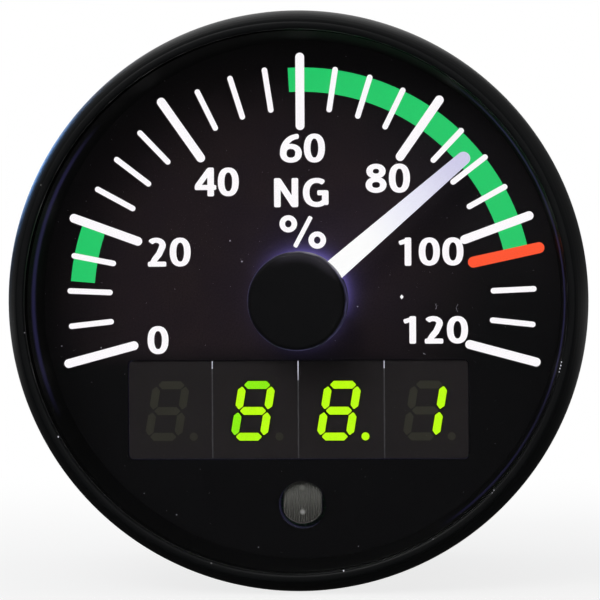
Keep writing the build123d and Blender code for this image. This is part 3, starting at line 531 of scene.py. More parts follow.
# %% Where the digits are
blocks = [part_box("digit_" + str(index) + "_body") for index in (1, 2, 3, 4)]
gaps = [(first[1][0] + second[0][0]) / 2 / MM for first, second in zip(blocks, blocks[1:])]
figure_low, figure_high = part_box("digit_2_lit_segments")
figure_middle = (figure_low[0] + figure_high[0]) / 2 / MM
figure_height = (figure_low[2] + figure_high[2]) / 2 / MM
print("gaps between the digits at x =", [round(gap, 2) for gap in gaps])

# %% Digit finishes
figure_lean = 0.167
level_bars_from = 1.25
left_bars_from = -1.62
bottom_share = 0.3
even_light = shade(187, 252, 0)


def mixed_light(spot):
    """Yellow green, but greener on the top, lower left and bottom bars."""
    z = spot["Up"] - figure_height
    leaned = spot["Right"] - figure_middle - z * figure_lean
    top = z - abs(leaned) > level_bars_from
    bottom = z * -1.0 - abs(leaned) > level_bars_from
    low_left = (leaned + z < left_bars_from) * (z < 0.0) * (1.0 - bottom)
    return blended(largest(top, low_left, bottom * bottom_share), even_light, shade(139, 238, 0))


dress(shining("mixed_digit_light", mixed_light), "digit_2_lit_segments")
dress(shining("even_digit_light", even_light), "digit_3_lit_segments", "digit_4_lit_segments")
dress(finish("digit_face", shade(40, 37, 38), 0.7, grains=9, variation=0.1, bump=0.12, specular=0.06),
      "digit_1_body", "digit_2_body", "digit_3_body", "digit_4_body")
dress(finish("unlit_segments", shade(56, 56, 47), 0.5, grains=6, variation=0.1, bump=0.1, specular=0.1),
      "digit_1_dark_segments", "digit_2_dark_segments", "digit_4_dark_segments")
print("digits lean", figure_lean, "to one")

# %% [markdown]
# ## Shroud and hub cap
# The shroud is the black wall between dial and window. It mirrors the pointer's light as a thin violet ring,
# seen on the left, on the right and below at the right. The ring lies at one depth of the wall, so it is
# painted there, and its strength follows the direction round the dial. The cap is moulded plastic. On its
# rounded edge a painted reflection of the glow makes a fine, uneven bluish line, and at the top a painted
# highlight makes a soft grey crescent, for the light of the per cent sign.

# %% Shroud wall
ring_at = 9.0
ring_reach, ring_core = 1.4, 0.2
shroud_wall = finish("shroud_wall", shade(6, 6, 7), 0.7, grains=5, variation=0.2, bump=0.2, specular=0.05)
tree = shroud_wall.node_tree
left = on_dial(tree, 172.0)
on_left = ramped(left["Facing direction"], 0.82, 0.97)
on_right = ramped(on_dial(tree, 12.0)["Facing direction"], 0.7, 0.92)
low_right = ramped(on_dial(tree, 322.0)["Facing direction"], 0.93, 0.995) * 0.6
in_ring = ramped(abs(left["Depth"] - ring_at), ring_reach, ring_core)
give_light(shroud_wall, scaled(shade(30, 28, 57), largest(on_left, on_right, low_right) * in_ring))
dress(shroud_wall, "dial_shroud")
print("the shroud's ring is", ring_at, "mm in front of the panel")

# %% Hub cap
edge_outer, edge_inner = cap_radius - 0.05, cap_radius - 0.16
crescent_inner, crescent_outer = 4.0, cap_radius - 0.2
cap_black = finish("hub_cap", shade(11, 11, 13), 0.4, grains=8, variation=0.12, bump=0.12, dusty=0.006,
                   specular=0.07)
tree = cap_black.node_tree
over_cap = on_dial(tree, 76.0)
on_top = ramped(over_cap["Facing direction"], 0.62, 0.98)
broken = ramped(noise(tree, 0.7, 3.0), 0.35, 0.65, 0.15)
edge_reflection_share = ramped(over_cap["Radius"], edge_inner, edge_outer) * broken
painted_crescent_highlight = ramped(over_cap["Radius"], crescent_inner, crescent_outer) * on_top
# Painted reflection and painted highlight: the bluish edge line and the grey crescent are light given off by
# the cap.
painted_edge_reflection = blended(on_top, shade(58, 56, 84), shade(112, 110, 122))
give_light(cap_black, blended(edge_reflection_share, scaled(shade(44, 42, 48), painted_crescent_highlight), painted_edge_reflection))
dress(cap_black, "pointer_cap")
print("cap:", cap_black.name)

# %% [markdown]
# ## Light guide, sensor and lamps
# The clear light guide behind the dial carries the lamps' violet light, which shows in the gap round the
# sensor. The two dots on the sensor are the heads of its leads, each with a painted highlight that fades
# towards its edge; the upper one is painted fainter.

# %% Guide, sensor, its two leads and the lamps
guide = finish("clear_guide", shade(190, 196, 205), 0.12, grains=2, variation=0.05, bump=0.05)
fill(shader_of(guide), {"Transmission Weight": 0.7})
give_light(guide, shade(18, 16, 33))
dress(guide, "light_guide")

sensor_tone = shade(92, 92, 88)
gleam_core = 0.25
sensor_grey = finish("sensor_plastic", sensor_tone, 0.45, grains=3, variation=0.2, specular=0.3)
dress(sensor_grey, "light_sensor")
lead_heads = finish("sensor_leads", shade(128, 128, 125), 0.55, grains=5, variation=0.3, bump=0.2,
                    specular=0.3)
low_corner, high_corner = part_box("light_sensor_leads")
leads_x = (low_corner[0] + high_corner[0]) / 2 / MM
leads_z = (low_corner[2] + high_corner[2]) / 2 / MM
head_radius = (high_corner[0] - low_corner[0]) / 2 / MM
half_spacing = (high_corner[2] - low_corner[2]) / 2 / MM - head_radius
spot = on_dial(lead_heads.node_tree)
aside = spot["Right"] - leads_x
above = spot["Up"] - leads_z
from_centre = abs(above) - half_spacing
from_head = maths("SQRT", aside * aside + from_centre * from_centre)
# Painted highlight: each lead head is painted bright in its middle, the lower one brighter.
painted_gleam_tone = blended(above > 0.0, shade(160, 160, 158), shade(116, 116, 112))
painted_lead_gleam = blended(ramped(from_head, head_radius * gleam_core, head_radius), painted_gleam_tone, sensor_tone)
fill(shader_of(lead_heads), {"Base Color": painted_lead_gleam})
dress(lead_heads, "light_sensor_leads")
dress(finish("lamp_body", shade(236, 226, 180), 0.4, grains=5, variation=0.08, bump=0.1), "backlight_lamps")
print("lead heads:", round(head_radius, 2), "mm round,", round(half_spacing * 2, 2), "mm apart")

# %% [markdown]
# ## Circuit boards and coils
# A board is green solder resist over copper tracks that run straight and turn at right angles. A brick
# pattern gives such runs without drawing them one by one, and round pads come from a cell pattern. The coils
# are wound with varnished copper wire: their solids get fine grain in the finish, and real turns of wire are
# laid over them later.

# %% Board and wire finishes
track_width, track_length, track_spacing = 0.06, 3.7, 0.9
pads_per_mm, pad_size = 0.45, 0.14
board = finish("green_board", shade(24, 84, 44), 0.3, grains=6, variation=0.12, bump=0.1, coat=0.3)
tree = board.node_tree
x, y, z = parts_of(in_millimetres(tree))
layout = vector(tree, x, z)
tracks = add(tree, "ShaderNodeTexBrick", {
    "Vector": layout, "Color1": grey(0.0), "Color2": grey(0.0), "Mortar": grey(1.0), "Scale": 1.0,
    "Mortar Size": track_width, "Brick Width": track_length, "Row Height": track_spacing})
pads = add(tree, "ShaderNodeTexVoronoi", {"Vector": layout, "Scale": pads_per_mm}, voronoi_dimensions="2D")
resist = blended(tracks[0], shade(22, 78, 40), shade(44, 122, 62))
fill(shader_of(board), {"Base Color": blended(pads["Distance"] < pad_size, resist, shade(200, 200, 190))})
dress(board, "display_board", "processor_board", "supply_board")

copper = finish("copper_winding", shade(184, 98, 52), 0.3, 0.9, bump=0.1, coat=0.5)
dress(copper, "left_coil", "right_coil")
print("boards and coils done")

# %% [markdown]
# ## New pieces: how a mesh is made here
# The pieces below are built in code. A mesh from points and faces gets its normals turned outwards before it
# is used. Each piece then carries its finish and moves with a body; where it stands in for a solid, that
# solid is hidden.

# %% From points and faces to a piece
same_point = 1e-7


def close_and_turn_out(mesh):
    """Welds corners that meet and turns the faces of a closed mesh outwards."""
    work = bmesh.new()
    work.from_mesh(mesh)
    bmesh.ops.remove_doubles(work, verts=work.verts, dist=same_point)
    bmesh.ops.recalc_face_normals(work, faces=work.faces)
    work.to_mesh(mesh)
    work.free()


def piece_from(name, points, faces, material):
    """A piece with flat faces that stays with the gauge's body."""
    mesh = bpy.data.meshes.new(name)
    mesh.from_pydata([tuple(point) for point in points], [], faces)
    close_and_turn_out(mesh)
    mesh.materials.append(material)
    piece = new_object(name, mesh)
    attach(piece, "gauge_body")
    return piece


# %% [markdown]
# ## Geometry Nodes
# What repeats or follows a rule is left to Geometry Nodes: turned parts, threads, sets of screws, ribs, wire,
# dust. A tree has named inputs. It is put on an object as a modifier, its inputs are set by their
# identifiers, and the result is copied out as a plain mesh, because instances and live trees are lost when
# the model is exported.

# %% Starting, ending and running a tree
def new_tree(name, inputs):
    """An empty tree and its input node. Every tree takes a material besides its own inputs."""
    tree = bpy.data.node_groups.new(name, "GeometryNodeTree")
    tree.interface.new_socket("Geometry", in_out="OUTPUT", socket_type="NodeSocketGeometry")
    for title, kind in {"Geometry": "Geometry", **inputs, "Material": "Material"}.items():
        tree.interface.new_socket(title, in_out="INPUT", socket_type="NodeSocket" + kind)
    return tree, add(tree, "NodeGroupInput")


def end_tree(given, geometry):
    """The end of every tree: instances become real faces, get the material and go out."""
    tree = geometry.tree
    real = add(tree, "GeometryNodeRealizeInstances", {"Geometry": geometry})
    coloured = add(tree, "GeometryNodeSetMaterial", {"Geometry": real[0], "Material": given["Material"]})
    add(tree, "NodeGroupOutput", {0: coloured[0]})
    print("tree:", tree.name)


def moved(geometry, translation=(0, 0, 0), rotation=(0, 0, 0)):
    """Geometry moved and turned as a whole."""
    return add(geometry.tree, "GeometryNodeTransform", {
        "Geometry": geometry, "Translation": translation, "Rotation": rotation})[0]


def copied(points, instance, **more):
    """Copies of some geometry on points."""
    inputs = {"Points": points, "Instance": instance, **more}
    return add(points.tree, "GeometryNodeInstanceOnPoints", inputs)[0]


def swept(path, section, **more):
    """A section carried along a path."""
    return add(path.tree, "GeometryNodeCurveToMesh", {"Curve": path, "Profile Curve": section, **more})[0]


def smooth(geometry):
    """Geometry with smooth shading."""
    return add(geometry.tree, "GeometryNodeSetShadeSmooth", {"Geometry": geometry, "Shade Smooth": True})[0]


def plain_copy(thing):
    """Gives an object the mesh that its modifiers make, and takes them away."""
    bpy.context.view_layer.update()
    result = bpy.data.meshes.new_from_object(thing.evaluated_get(bpy.context.evaluated_depsgraph_get()))
    thing.modifiers.clear()
    thing.data = result
    result.name = thing.name


def made_by(tree, name, values, points=((0, 0, 0),), edges=(), faces=(), body="gauge_body"):
    """A piece from a tree that starts with these points, edges and faces."""
    start = bpy.data.meshes.new(name + "_start")
    start.from_pydata([tuple(point) for point in points], edges, faces)
    piece = new_object(name, start)
    modifier = piece.modifiers.new("tree", "NODES")
    modifier.node_group = tree
    for item in tree.interface.items_tree:
        if item.in_out == "INPUT" and item.name in values:
            modifier[item.identifier] = values[item.name]
    plain_copy(piece)
    bpy.data.meshes.remove(start)
    if body:
        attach(piece, body)
    print(name, len(piece.data.polygons), "faces")
    return piece


# %% A turned part: an outline swept round an axis, as on a lathe
turning, given = new_tree("turned_part", {"Segments": "Int", "Rounding": "Float"})
sweep_radius = 10 * MM
axis_to_depth = (math.radians(-90), 0, 0)
sharp_from = math.radians(40)
easing_steps = 3
outline = add(turning, "GeometryNodeMeshToCurve", {"Mesh": given["Geometry"]})[0]
eased = add(turning, "GeometryNodeFilletCurve", {
    "Curve": moved(outline, (-sweep_radius, 0, 0)), "Count": easing_steps, "Radius": given["Rounding"],
    "Limit Radius": True}, mode="POLY")[0]
circle = add(turning, "GeometryNodeCurvePrimitiveCircle", {
    "Radius": sweep_radius, "Resolution": given["Segments"]})[0]
closed = add(turning, "GeometryNodeMergeByDistance", {"Geometry": swept(circle, eased), "Distance": 1e-6})[0]
end_tree(given, smooth(moved(closed, rotation=axis_to_depth)))


def turned_piece(name, corners, material, rounding, segments):
    """A turned part from its outline: corners of (radius, depth) in millimetres.

    An outline that starts away from the axis is closed to a ring, which rides with the gauge's body. One that
    starts on the axis is a pin, which goes into another piece.
    """
    points = [(radius * MM, depth * MM, 0) for radius, depth in corners]
    edges = [(index, index + 1) for index in range(len(points) - 1)]
    is_ring = points[0][0] > 0
    if is_ring:
        edges.append((len(points) - 1, 0))
    values = {"Segments": segments, "Rounding": rounding * MM, "Material": material}
    piece = made_by(turning, name, values, points, edges, body="gauge_body" if is_ring else None)
    close_and_turn_out(piece.data)
    piece.data.set_sharp_from_angle(angle=sharp_from)
    return piece


# %% [markdown]
# ## Bezel
# The bezel is a ring turned from aluminium and painted satin black: a crowned front edge, a thin lip that
# holds the glass, a thread inside. A solid of it exists, but its curve is made of flat steps that show in the
# paint's sheen. The same outline, swept in 256 steps with every corner eased, replaces it.

# %% Turned bezel
bezel_front = -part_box("bezel")[0][1] / MM
bezel_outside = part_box("bezel")[1][0] / MM
bore_radius, glass_radius, lip_radius = 30.45, 30.2, 29.5
lip_thick, glass_step = 0.8, 5.5
back_edge, back_bevel = 0.8, 0.4
crown_tall, crown_deep, crown_steps = 5.0, 1.4, 8
crown_radius = (crown_deep ** 2 + crown_tall ** 2) / (2 * crown_deep)
crown_angle = math.asin(crown_tall / crown_radius)
crown = [(bezel_outside - crown_radius + crown_radius * math.cos(crown_angle * step / crown_steps),
          bezel_front - crown_tall + crown_radius * math.sin(crown_angle * step / crown_steps))
         for step in range(crown_steps + 1)]
bezel_outline = [
    (bore_radius, 0.0), (bezel_outside - back_edge, 0.0), (bezel_outside - back_bevel, back_bevel), *crown,
    (lip_radius, bezel_front), (lip_radius, bezel_front - lip_thick), (glass_radius, bezel_front - lip_thick),
    (glass_radius, glass_step), (bore_radius, glass_step)]
bezel = turned_piece("turned_bezel", bezel_outline, satin_black, 0.3, 256)
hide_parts("bezel")

# %% [markdown]
# ## Numerals and legend
# The figures are screened on the dial in a bold face with soft corners. The letters name the quantity, as on
# any such gauge. A font could be used, but the strokes of each figure follow simple rules: ovals, straight
# bars, and a stroke that is thinner where it runs level. So each figure is a few centre lines, given a width
# and rounded ends, and made into a thin film on the dial.

# %% A stroke along a centre line
film_half = 0.02
film_front = dial_depth + film_half
film_back = dial_depth - film_half
stem_width = 0.73
level_width = 0.56
corner_easing = 0.16


def stroke(line, ring=False, wide=stem_width, thin=level_width):
    """Points and faces of one stroke: wide where it stands, thin where it runs level."""
    count = len(line)
    lengths = [0.0]
    for first, second in zip(line, line[1:]):
        lengths.append(lengths[-1] + math.dist(first, second))
    points = []
    for index, (x, z) in enumerate(line):
        before = line[index - 1] if ring or index else line[index]
        after = line[(index + 1) % count] if ring or index < count - 1 else line[index]
        run = math.dist(before, after)
        along_x, along_z = (after[0] - before[0]) / run, (after[1] - before[1]) / run
        half = math.hypot(wide * along_z, thin * along_x) / 2
        to_end = min(lengths[index], lengths[-1] - lengths[index])
        if not ring and to_end < corner_easing:
            half += math.sqrt(corner_easing ** 2 - (corner_easing - to_end) ** 2) - corner_easing
        for side, depth in ((1, film_front), (-1, film_front), (-1, film_back), (1, film_back)):
            points.append(place(x - along_z * half * side, z + along_x * half * side, depth))
    faces = []
    for index in range(count if ring else count - 1):
        a, b = index * 4, ((index + 1) % count) * 4
        faces += [(a + k, a + (k + 1) % 4, b + (k + 1) % 4, b + k) for k in range(4)]
    if not ring:
        faces += [(0, 1, 2, 3), tuple(range(count * 4 - 4, count * 4))]
    return points, faces


def straight(first, second):
    """A straight centre line, with its points packed at both ends, where the corners are eased."""
    length = math.dist(first, second)
    steps = [0, 0.02, 0.06, 0.11, corner_easing]
    places = steps + [length / 2] + [length - step for step in reversed(steps)]
    return [(first[0] + (second[0] - first[0]) * at / length, first[1] + (second[1] - first[1]) * at / length)
            for at in places if at <= length]


def oval(centre, reach, start=0.0, end=360.0, squareness=2.3, steps=40):
    """Part of an oval, a little squarer than an ellipse. A full turn leaves out its last point."""
    full = abs(end - start) >= 360
    line = []
    for step in range(steps if full else steps + 1):
        angle = math.radians(start + (end - start) * step / steps)
        cosine, sine = math.cos(angle), math.sin(angle)
        line.append((centre[0] + reach[0] * math.copysign(abs(cosine) ** (2 / squareness), cosine),
                     centre[1] + reach[1] * math.copysign(abs(sine) ** (2 / squareness), sine)))
    return line


def bar(first, second, thick=None):
    """A straight stroke, as wide as its direction asks, or of one thickness."""
    if thick:
        return stroke(straight(first, second), wide=thick, thin=thick)
    return stroke(straight(first, second))


print("a stem is", stem_width, "mm wide")

# %% The figures, each from its own strokes
def figure_strokes(sign, width, tall):
    """Strokes of one sign in a box of this size, with its lower left corner at zero."""
    side = stem_width / 2
    flat = level_width / 2
    middle = width / 2
    far = width - side
    if sign == "0":
        return [stroke(oval((middle, tall / 2), (middle - side, tall / 2 - flat)), ring=True)]
    if sign == "1":
        return [bar((far, 0), (far, tall)), bar((0.1, tall * 0.80), (far, tall * 0.90), 0.5)]
    if sign == "2":
        reach = (width * 0.50 - side * 0.9, tall * 0.265 - flat)
        bend = oval((width * 0.46, tall * 0.735), reach, 152, -22, 2.1)
        down = [(width * 0.62, tall * 0.44), (width * 0.38, tall * 0.25), (side * 0.85, flat)]
        return [stroke(bend + down), bar((0.02, flat), (width, flat))]
    if sign == "4":
        stem_x = width * 0.74
        bar_z = tall * 0.31
        return [bar((stem_x, 0), (stem_x, tall)), bar((0, bar_z), (width, bar_z)),
                bar((stem_x - 0.1, tall - 0.22), (0.24, bar_z + 0.06), 0.62)]
    if sign == "6":
        bowl_z = tall * 0.325
        bowl = oval((middle, bowl_z), (middle - side, bowl_z - flat), squareness=2.2)
        sweep = oval((width * 0.90, bowl_z), (width * 0.90 - side, tall - flat - bowl_z), 92, 180, 2.15)
        return [stroke(bowl, ring=True), stroke(sweep)]
    if sign == "8":
        upper = oval((middle, tall * 0.745), (middle * 0.92 - side, tall * 0.255 - flat), squareness=2.1)
        lower = oval((middle, tall * 0.275), (middle - side, tall * 0.275 - flat), squareness=2.1)
        return [stroke(upper, ring=True), stroke(lower, ring=True)]
    if sign == "N":
        return [bar((side, 0), (side, tall)), bar((far, 0), (far, tall)),
                bar((side * 1.1, tall - 0.18), (width - side * 1.1, 0.18), 0.7)]
    if sign == "G":
        bend = oval((width * 0.54, tall / 2), (width * 0.54 - side, tall / 2 - flat), 50, 312, 2.2)
        return [stroke(bend), bar((far, 0.22), (far, tall * 0.57)),
                bar((width * 0.56, tall * 0.49), (width - 0.1, tall * 0.49))]
    reach = (width * 0.185 - 0.27, tall * 0.26 - 0.27)
    rings = [oval((width * x, tall * z), reach, squareness=2.0, steps=28)
             for x, z in ((0.185, 0.75), (0.815, 0.25))]
    return [*[stroke(line, ring=True, wide=0.62, thin=0.56) for line in rings],
            bar((width * 0.325, tall * 0.04), (width * 0.68, tall * 0.97), 0.5)]


def lettering(name, lines, material):
    """One film for several lines of signs. A line is its left edge, its foot and its signs."""
    points, faces = [], []
    for x, foot, signs in lines:
        for sign, width, advance, tall in signs:
            for stroke_points, stroke_faces in figure_strokes(sign, width, tall):
                shift = place(x, foot, 0)
                faces += [tuple(corner + len(points) for corner in face) for face in stroke_faces]
                points += [point + shift for point in stroke_points]
            x += advance
    return piece_from(name, points, faces, material)


print("signs drawn: 0 1 2 4 6 8 N G %")

# %% Numerals
sign_widths = {"0": 2.33, "1": 1.45, "2": 2.07, "4": 2.39, "6": 2.43, "8": 2.32}


def numeral(text, tall, *steps):
    """The signs of one number, with the step from each to the next."""
    return [(sign, sign_widths[sign], step, tall) for sign, step in zip(text, steps + (0,))]


numeral_lines = [
    (-17.11, -5.94, numeral("0", 3.12)), (-17.04, 3.77, numeral("20", 3.21, 2.46)),
    (-11.74, 11.53, numeral("40", 3.19, 2.57)), (-2.25, 15.2, numeral("60", 3.2, 2.66)),
    (7.22, 11.8, numeral("80", 3.22, 2.58)), (10.78, 3.73, numeral("100", 3.12, 2.28, 2.6)),
    (11.26, -4.88, numeral("120", 3.04, 2.39, 2.47)),
]
legend_lines = [
    (-2.93, 10.28, [("N", 2.68, 3.2, 3.22), ("G", 2.84, 0, 3.22)]),
    (-2.31, 5.71, [("%", 5.08, 0, 3.64)]),
]
numerals = lettering("numerals", numeral_lines, white_light)
legend = lettering("legend", legend_lines, white_light)
print("numerals:", len(numeral_lines), "legend lines:", len(legend_lines))

# %% [markdown]
# ## Painted light between the digits
# In the gaps between the digit modules a thin grey line that gleams at its top is painted light. Each is a
# thin upright film in the gap, a little behind the faces, that gives off light, and its light fades
# downwards by height.

# %% Painted light in the gaps
side_fade, middle_fade = -7.6, 1.3
gap_light_half, gap_light_front, gap_light_back, gap_light_short = 0.05, 0.05, 0.6, 0.05


def painted_gap_light(spot):
    """Painted light: grey, with a painted gleam above a height that is lower in the middle gap."""
    off_middle = abs(spot["Right"] - gaps[1])
    fade_end = side_fade - ramped(off_middle, 3.0, 2.0) * middle_fade
    gleam = (spot["Up"] > fade_end) * (ramped(spot["Up"], -9.4, -7.2) * 0.5 + 0.5)
    return blended(gleam, shade(66, 66, 68), shade(222, 224, 240))


# Painted light: the film in each gap gives off a grey light with a painted gleam at its top.
gap_light = shining("glue_lines", painted_gap_light, unevenness=0.3, grains=2.0)
gap_light_points, gap_light_faces = [], []
foot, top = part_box("digit_2_body")[0][2] / MM + gap_light_short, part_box("digit_2_body")[1][2] / MM - gap_light_short
for x in gaps:
    corner = len(gap_light_points)
    for depth in (digit_depth - gap_light_front, digit_depth - gap_light_back):
        for side, z in ((-1, foot), (1, foot), (1, top), (-1, top)):
            gap_light_points.append(place(x + side * gap_light_half, z, depth))
    gap_light_faces += [tuple(range(corner, corner + 4)), tuple(range(corner + 7, corner + 3, -1))]
    for this, after in ((0, 1), (1, 2), (2, 3), (3, 0)):
        gap_light_faces.append((corner + this, corner + after, corner + 4 + after, corner + 4 + this))
glue_lines = piece_from("glue_lines", gap_light_points, gap_light_faces, gap_light)
print("glue lines:", len(gaps))

# %% [markdown]
# ## Painted shade round the lit bars
# Each lit bar shines through its own opening in the digit's face, and the shade in the gap round it shows as
# a thin black line. It is painted shade: a narrow raised black ring that follows the bar's own outline, read
# from the solid, so it stays right from all sides.

# %% Outlines of bars
def bar_outlines(node):
    """The outlines of a node's front faces, as rings of (x, z), and their depth."""
    shape = bmesh.new()
    shape.from_mesh(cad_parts[node].data)
    bmesh.ops.remove_doubles(shape, verts=shape.verts, dist=same_point)
    shape.verts.index_update()
    shape.verts.ensure_lookup_table()
    front = min(vertex.co.y for vertex in shape.verts)
    fronts = [face for face in shape.faces if all(abs(vertex.co.y - front) < 1e-6 for vertex in face.verts)]
    follow = {}
    for face in fronts:
        for loop in face.loops:
            if sum(other in fronts for other in loop.edge.link_faces) == 1:
                follow[loop.vert.index] = loop.link_loop_next.vert.index
    rings = []
    while follow:
        ring, index = [], next(iter(follow))
        while index in follow:
            ring.append((shape.verts[index].co.x / MM, shape.verts[index].co.z / MM))
            index = follow.pop(index)
        rings.append(ring)
    shape.free()
    return rings, -front / MM


def widened(ring, width):
    """A ring of corners moved outwards by a width."""
    signed = sum(x1 * z2 - x2 * z1 for (x1, z1), (x2, z2) in zip(ring, ring[1:] + ring[:1]))
    way = 1.0 if signed > 0 else -1.0
    moved_ring = []
    for (x0, z0), (x1, z1), (x2, z2) in zip(ring[-1:] + ring[:-1], ring, ring[1:] + ring[:1]):
        before = Vector((z1 - z0, x0 - x1)).normalized() * way
        after = Vector((z2 - z1, x1 - x2)).normalized() * way
        middle = (before + after).normalized()
        reach = width / max(middle.dot(after), 0.5)
        moved_ring.append((x1 + middle.x * reach, z1 + middle.y * reach))
    return moved_ring


def rings_round(name, width, height, material):
    """A piece of flat rings that follow the bars of the three lit digits from outside."""
    points, faces = [], []
    for digit in (2, 3, 4):
        rings, bar_depth = bar_outlines("digit_" + str(digit) + "_lit_segments")
        for number, inner in enumerate(rings):
            high = bar_depth + height + 0.001 * number
            outer = widened(inner, width)
            corner, count = len(points), len(inner)
            for corners, depth in ((inner, high), (outer, high), (outer, bar_depth), (inner, bar_depth)):
                points += [place(x, z, depth) for x, z in corners]
            for side in range(4):
                first, second = corner + side * count, corner + (side + 1) % 4 * count
                for step in range(count):
                    after = (step + 1) % count
                    faces.append((first + step, first + after, second + after, second + step))
    return piece_from(name, points, faces, material)


# %% Painted shade round the bars
edge_width, edge_height = 0.11, 0.02
# Painted shade: a black ring stands where the gap round each bar lies in shade.
painted_gap_shade = finish("bar_edges", shade(4, 4, 5), 0.8, specular=0.05)
bar_edges = rings_round("bar_edges", edge_width, edge_height, painted_gap_shade)
print("bar edges:", len(bar_edges.data.polygons), "faces")

# %% [markdown]
# ## Ribs on the light sensor
# The sensor's window is moulded with fine upright ribs that follow its flat sided circle. One rib is repeated
# along a line, and each is stretched to the chord of the circle at its place, which a tree does with a square
# root.

# %% Ribbed window
rib_count, rib_pitch, rib_width = 15, 0.27, 0.2
window_radius, window_z, rib_sink = 2.25, -22.45, 0.02


def centred_row(given, count, up=0.0):
    """A row of points along x, at the given pitch, with its middle at zero."""
    tree, pitch = given["Pitch"].tree, given["Pitch"]
    return add(tree, "GeometryNodeMeshLine", {
        "Count": given[count], "Offset": vector(tree, pitch),
        "Start Location": vector(tree, (given[count] - 1.0) * (pitch * -0.5), 0.0, up)})[0]


ribbing, given = new_tree("ribs_in_circle", {
    "Ribs": "Int", "Pitch": "Float", "Circle": "Float", "Width": "Float", "Centre": "Vector"})
rib_round = add(ribbing, "GeometryNodeMeshCylinder", {"Vertices": 10, "Radius": 1.0, "Depth": 2.0})
x, y, z = parts_of(add(ribbing, "GeometryNodeInputPosition")[0])
chord = maths("SQRT", given["Circle"] * given["Circle"] - x * x)
rib_half = given["Width"] * 0.5
rib_size = vector(ribbing, rib_half, rib_half, chord)
ribs = copied(centred_row(given, "Ribs"), smooth(rib_round[0]), Scale=rib_size)
end_tree(given, moved(ribs, given["Centre"]))
sensor_ribs = made_by(ribbing, "sensor_ribs", {
    "Ribs": rib_count, "Pitch": rib_pitch * MM, "Circle": window_radius * MM, "Width": rib_width * MM,
    "Centre": place(0, window_z, sensor_depth - rib_sink), "Material": sensor_grey})

# %% [markdown]
# ## Dust and lint
# A few specks of dust lie on the dial, and some larger ones and a little lint show in the picture. Specks
# scattered by hand never look even, so a tree drops them on the dial's own front face, with a fixed seed. The
# larger ones are put where they are seen.

# %% Scattered specks
strewing, given = new_tree("specks_on_front", {
    "Specks per square metre": "Float", "Smallest": "Float", "Largest": "Float", "Seed": "Int"})
full_turn = 6.28
specks_per_square_metre, smallest_speck, largest_speck = 60000.0, 0.012, 0.032
x, y, z = parts_of(add(strewing, "GeometryNodeInputNormal")[0])
faces_front = y < -0.9
spread = add(strewing, "GeometryNodeDistributePointsOnFaces", {
    "Mesh": given["Geometry"], "Selection": faces_front, "Density": given["Specks per square metre"],
    "Seed": given["Seed"]})
speck = add(strewing, "GeometryNodeMeshIcoSphere", {"Radius": 1.0, "Subdivisions": 1})
size = add(strewing, "FunctionNodeRandomValue", {
    2: given["Smallest"], 3: given["Largest"], "Seed": given["Seed"]}, data_type="FLOAT")
spin = add(strewing, "FunctionNodeRandomValue", {1: (full_turn,) * 3}, data_type="FLOAT_VECTOR")
end_tree(given, copied(spread["Points"], speck[0], Rotation=spin[0], Scale=size[1]))

dust_grey = finish("pale_dust", shade(226, 226, 238), 0.9, grains=20, variation=0.3, bump=0.1)
dial_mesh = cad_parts["dial_plate"].data
dial_dust = made_by(strewing, "dial_dust", {
    "Specks per square metre": specks_per_square_metre, "Smallest": smallest_speck * MM,
    "Largest": largest_speck * MM, "Seed": 7, "Material": dust_grey},
    [vertex.co for vertex in dial_mesh.vertices], faces=[tuple(face.vertices) for face in dial_mesh.polygons])

# %% Specks and lint in their own places
seen_specks = [
    (13.57, -5.97, 0.07), (13.7, -6.05, 0.05), (6.25, -0.75, 0.085), (-7.85, 6.6, 0.11), (-6.55, 4.3, 0.12),
    (-14.0, -23.8, 0.09), (17.6, 18.9, 0.07), (-22.3, -5.2, 0.09), (-26.7, -5.0, 0.08), (-4.9, -27.4, 0.08),
    (6.2, -27.3, 0.07), (20.4, -21.7, 0.07), (-17.6, -21.4, 0.07)]
lip_specks = [
    (-25.8, -14.55, 0.13), (5.2, -29.1, 0.13), (28.83, -6.6, 0.1), (28.75, -6.95, 0.11), (28.66, -7.3, 0.1),
    (28.58, -7.65, 0.08), (21.3, -20.7, 0.09), (21.5, -20.4, 0.08), (-29.4, -3.2, 0.07), (14.9, -25.7, 0.07)]
lint = [((14.9, -0.5), (14.98, -0.8), (14.93, -1.05)), ((17.35, -0.55), (17.15, -0.95), (17.3, -1.35))]
speck_tall, speck_thick, speck_lift = 0.8, 0.5, 0.3
lip_speck_wide, lip_speck_thick, lip_speck_sunk = 0.7, 0.03, 0.04
lint_size, lint_steps, lint_lift = (0.025, 0.035, 0.025), 6, 0.03
pinhole, pinhole_size = (11.15, 0.3), (0.2, 0.27, 0.04)


def small_bodies(name, bodies, material):
    """A piece of little octahedra, each from its place, its reach to the right, up and out, and its depth."""
    points, faces = [], []
    for x, z, reach, depth in bodies:
        corner = len(points)
        for right_part, up_part, out in ((1, 0, 0), (0, 1, 0), (-1, 0, 0), (0, -1, 0), (0, 0, 1), (0, 0, -1)):
            points.append(place(x + right_part * reach[0], z + up_part * reach[1], depth + out * reach[2]))
        for first in range(4):
            second = (first + 1) % 4
            faces.append((corner + first, corner + second, corner + 4))
            faces.append((corner + second, corner + first, corner + 5))
    return piece_from(name, points, faces, material)


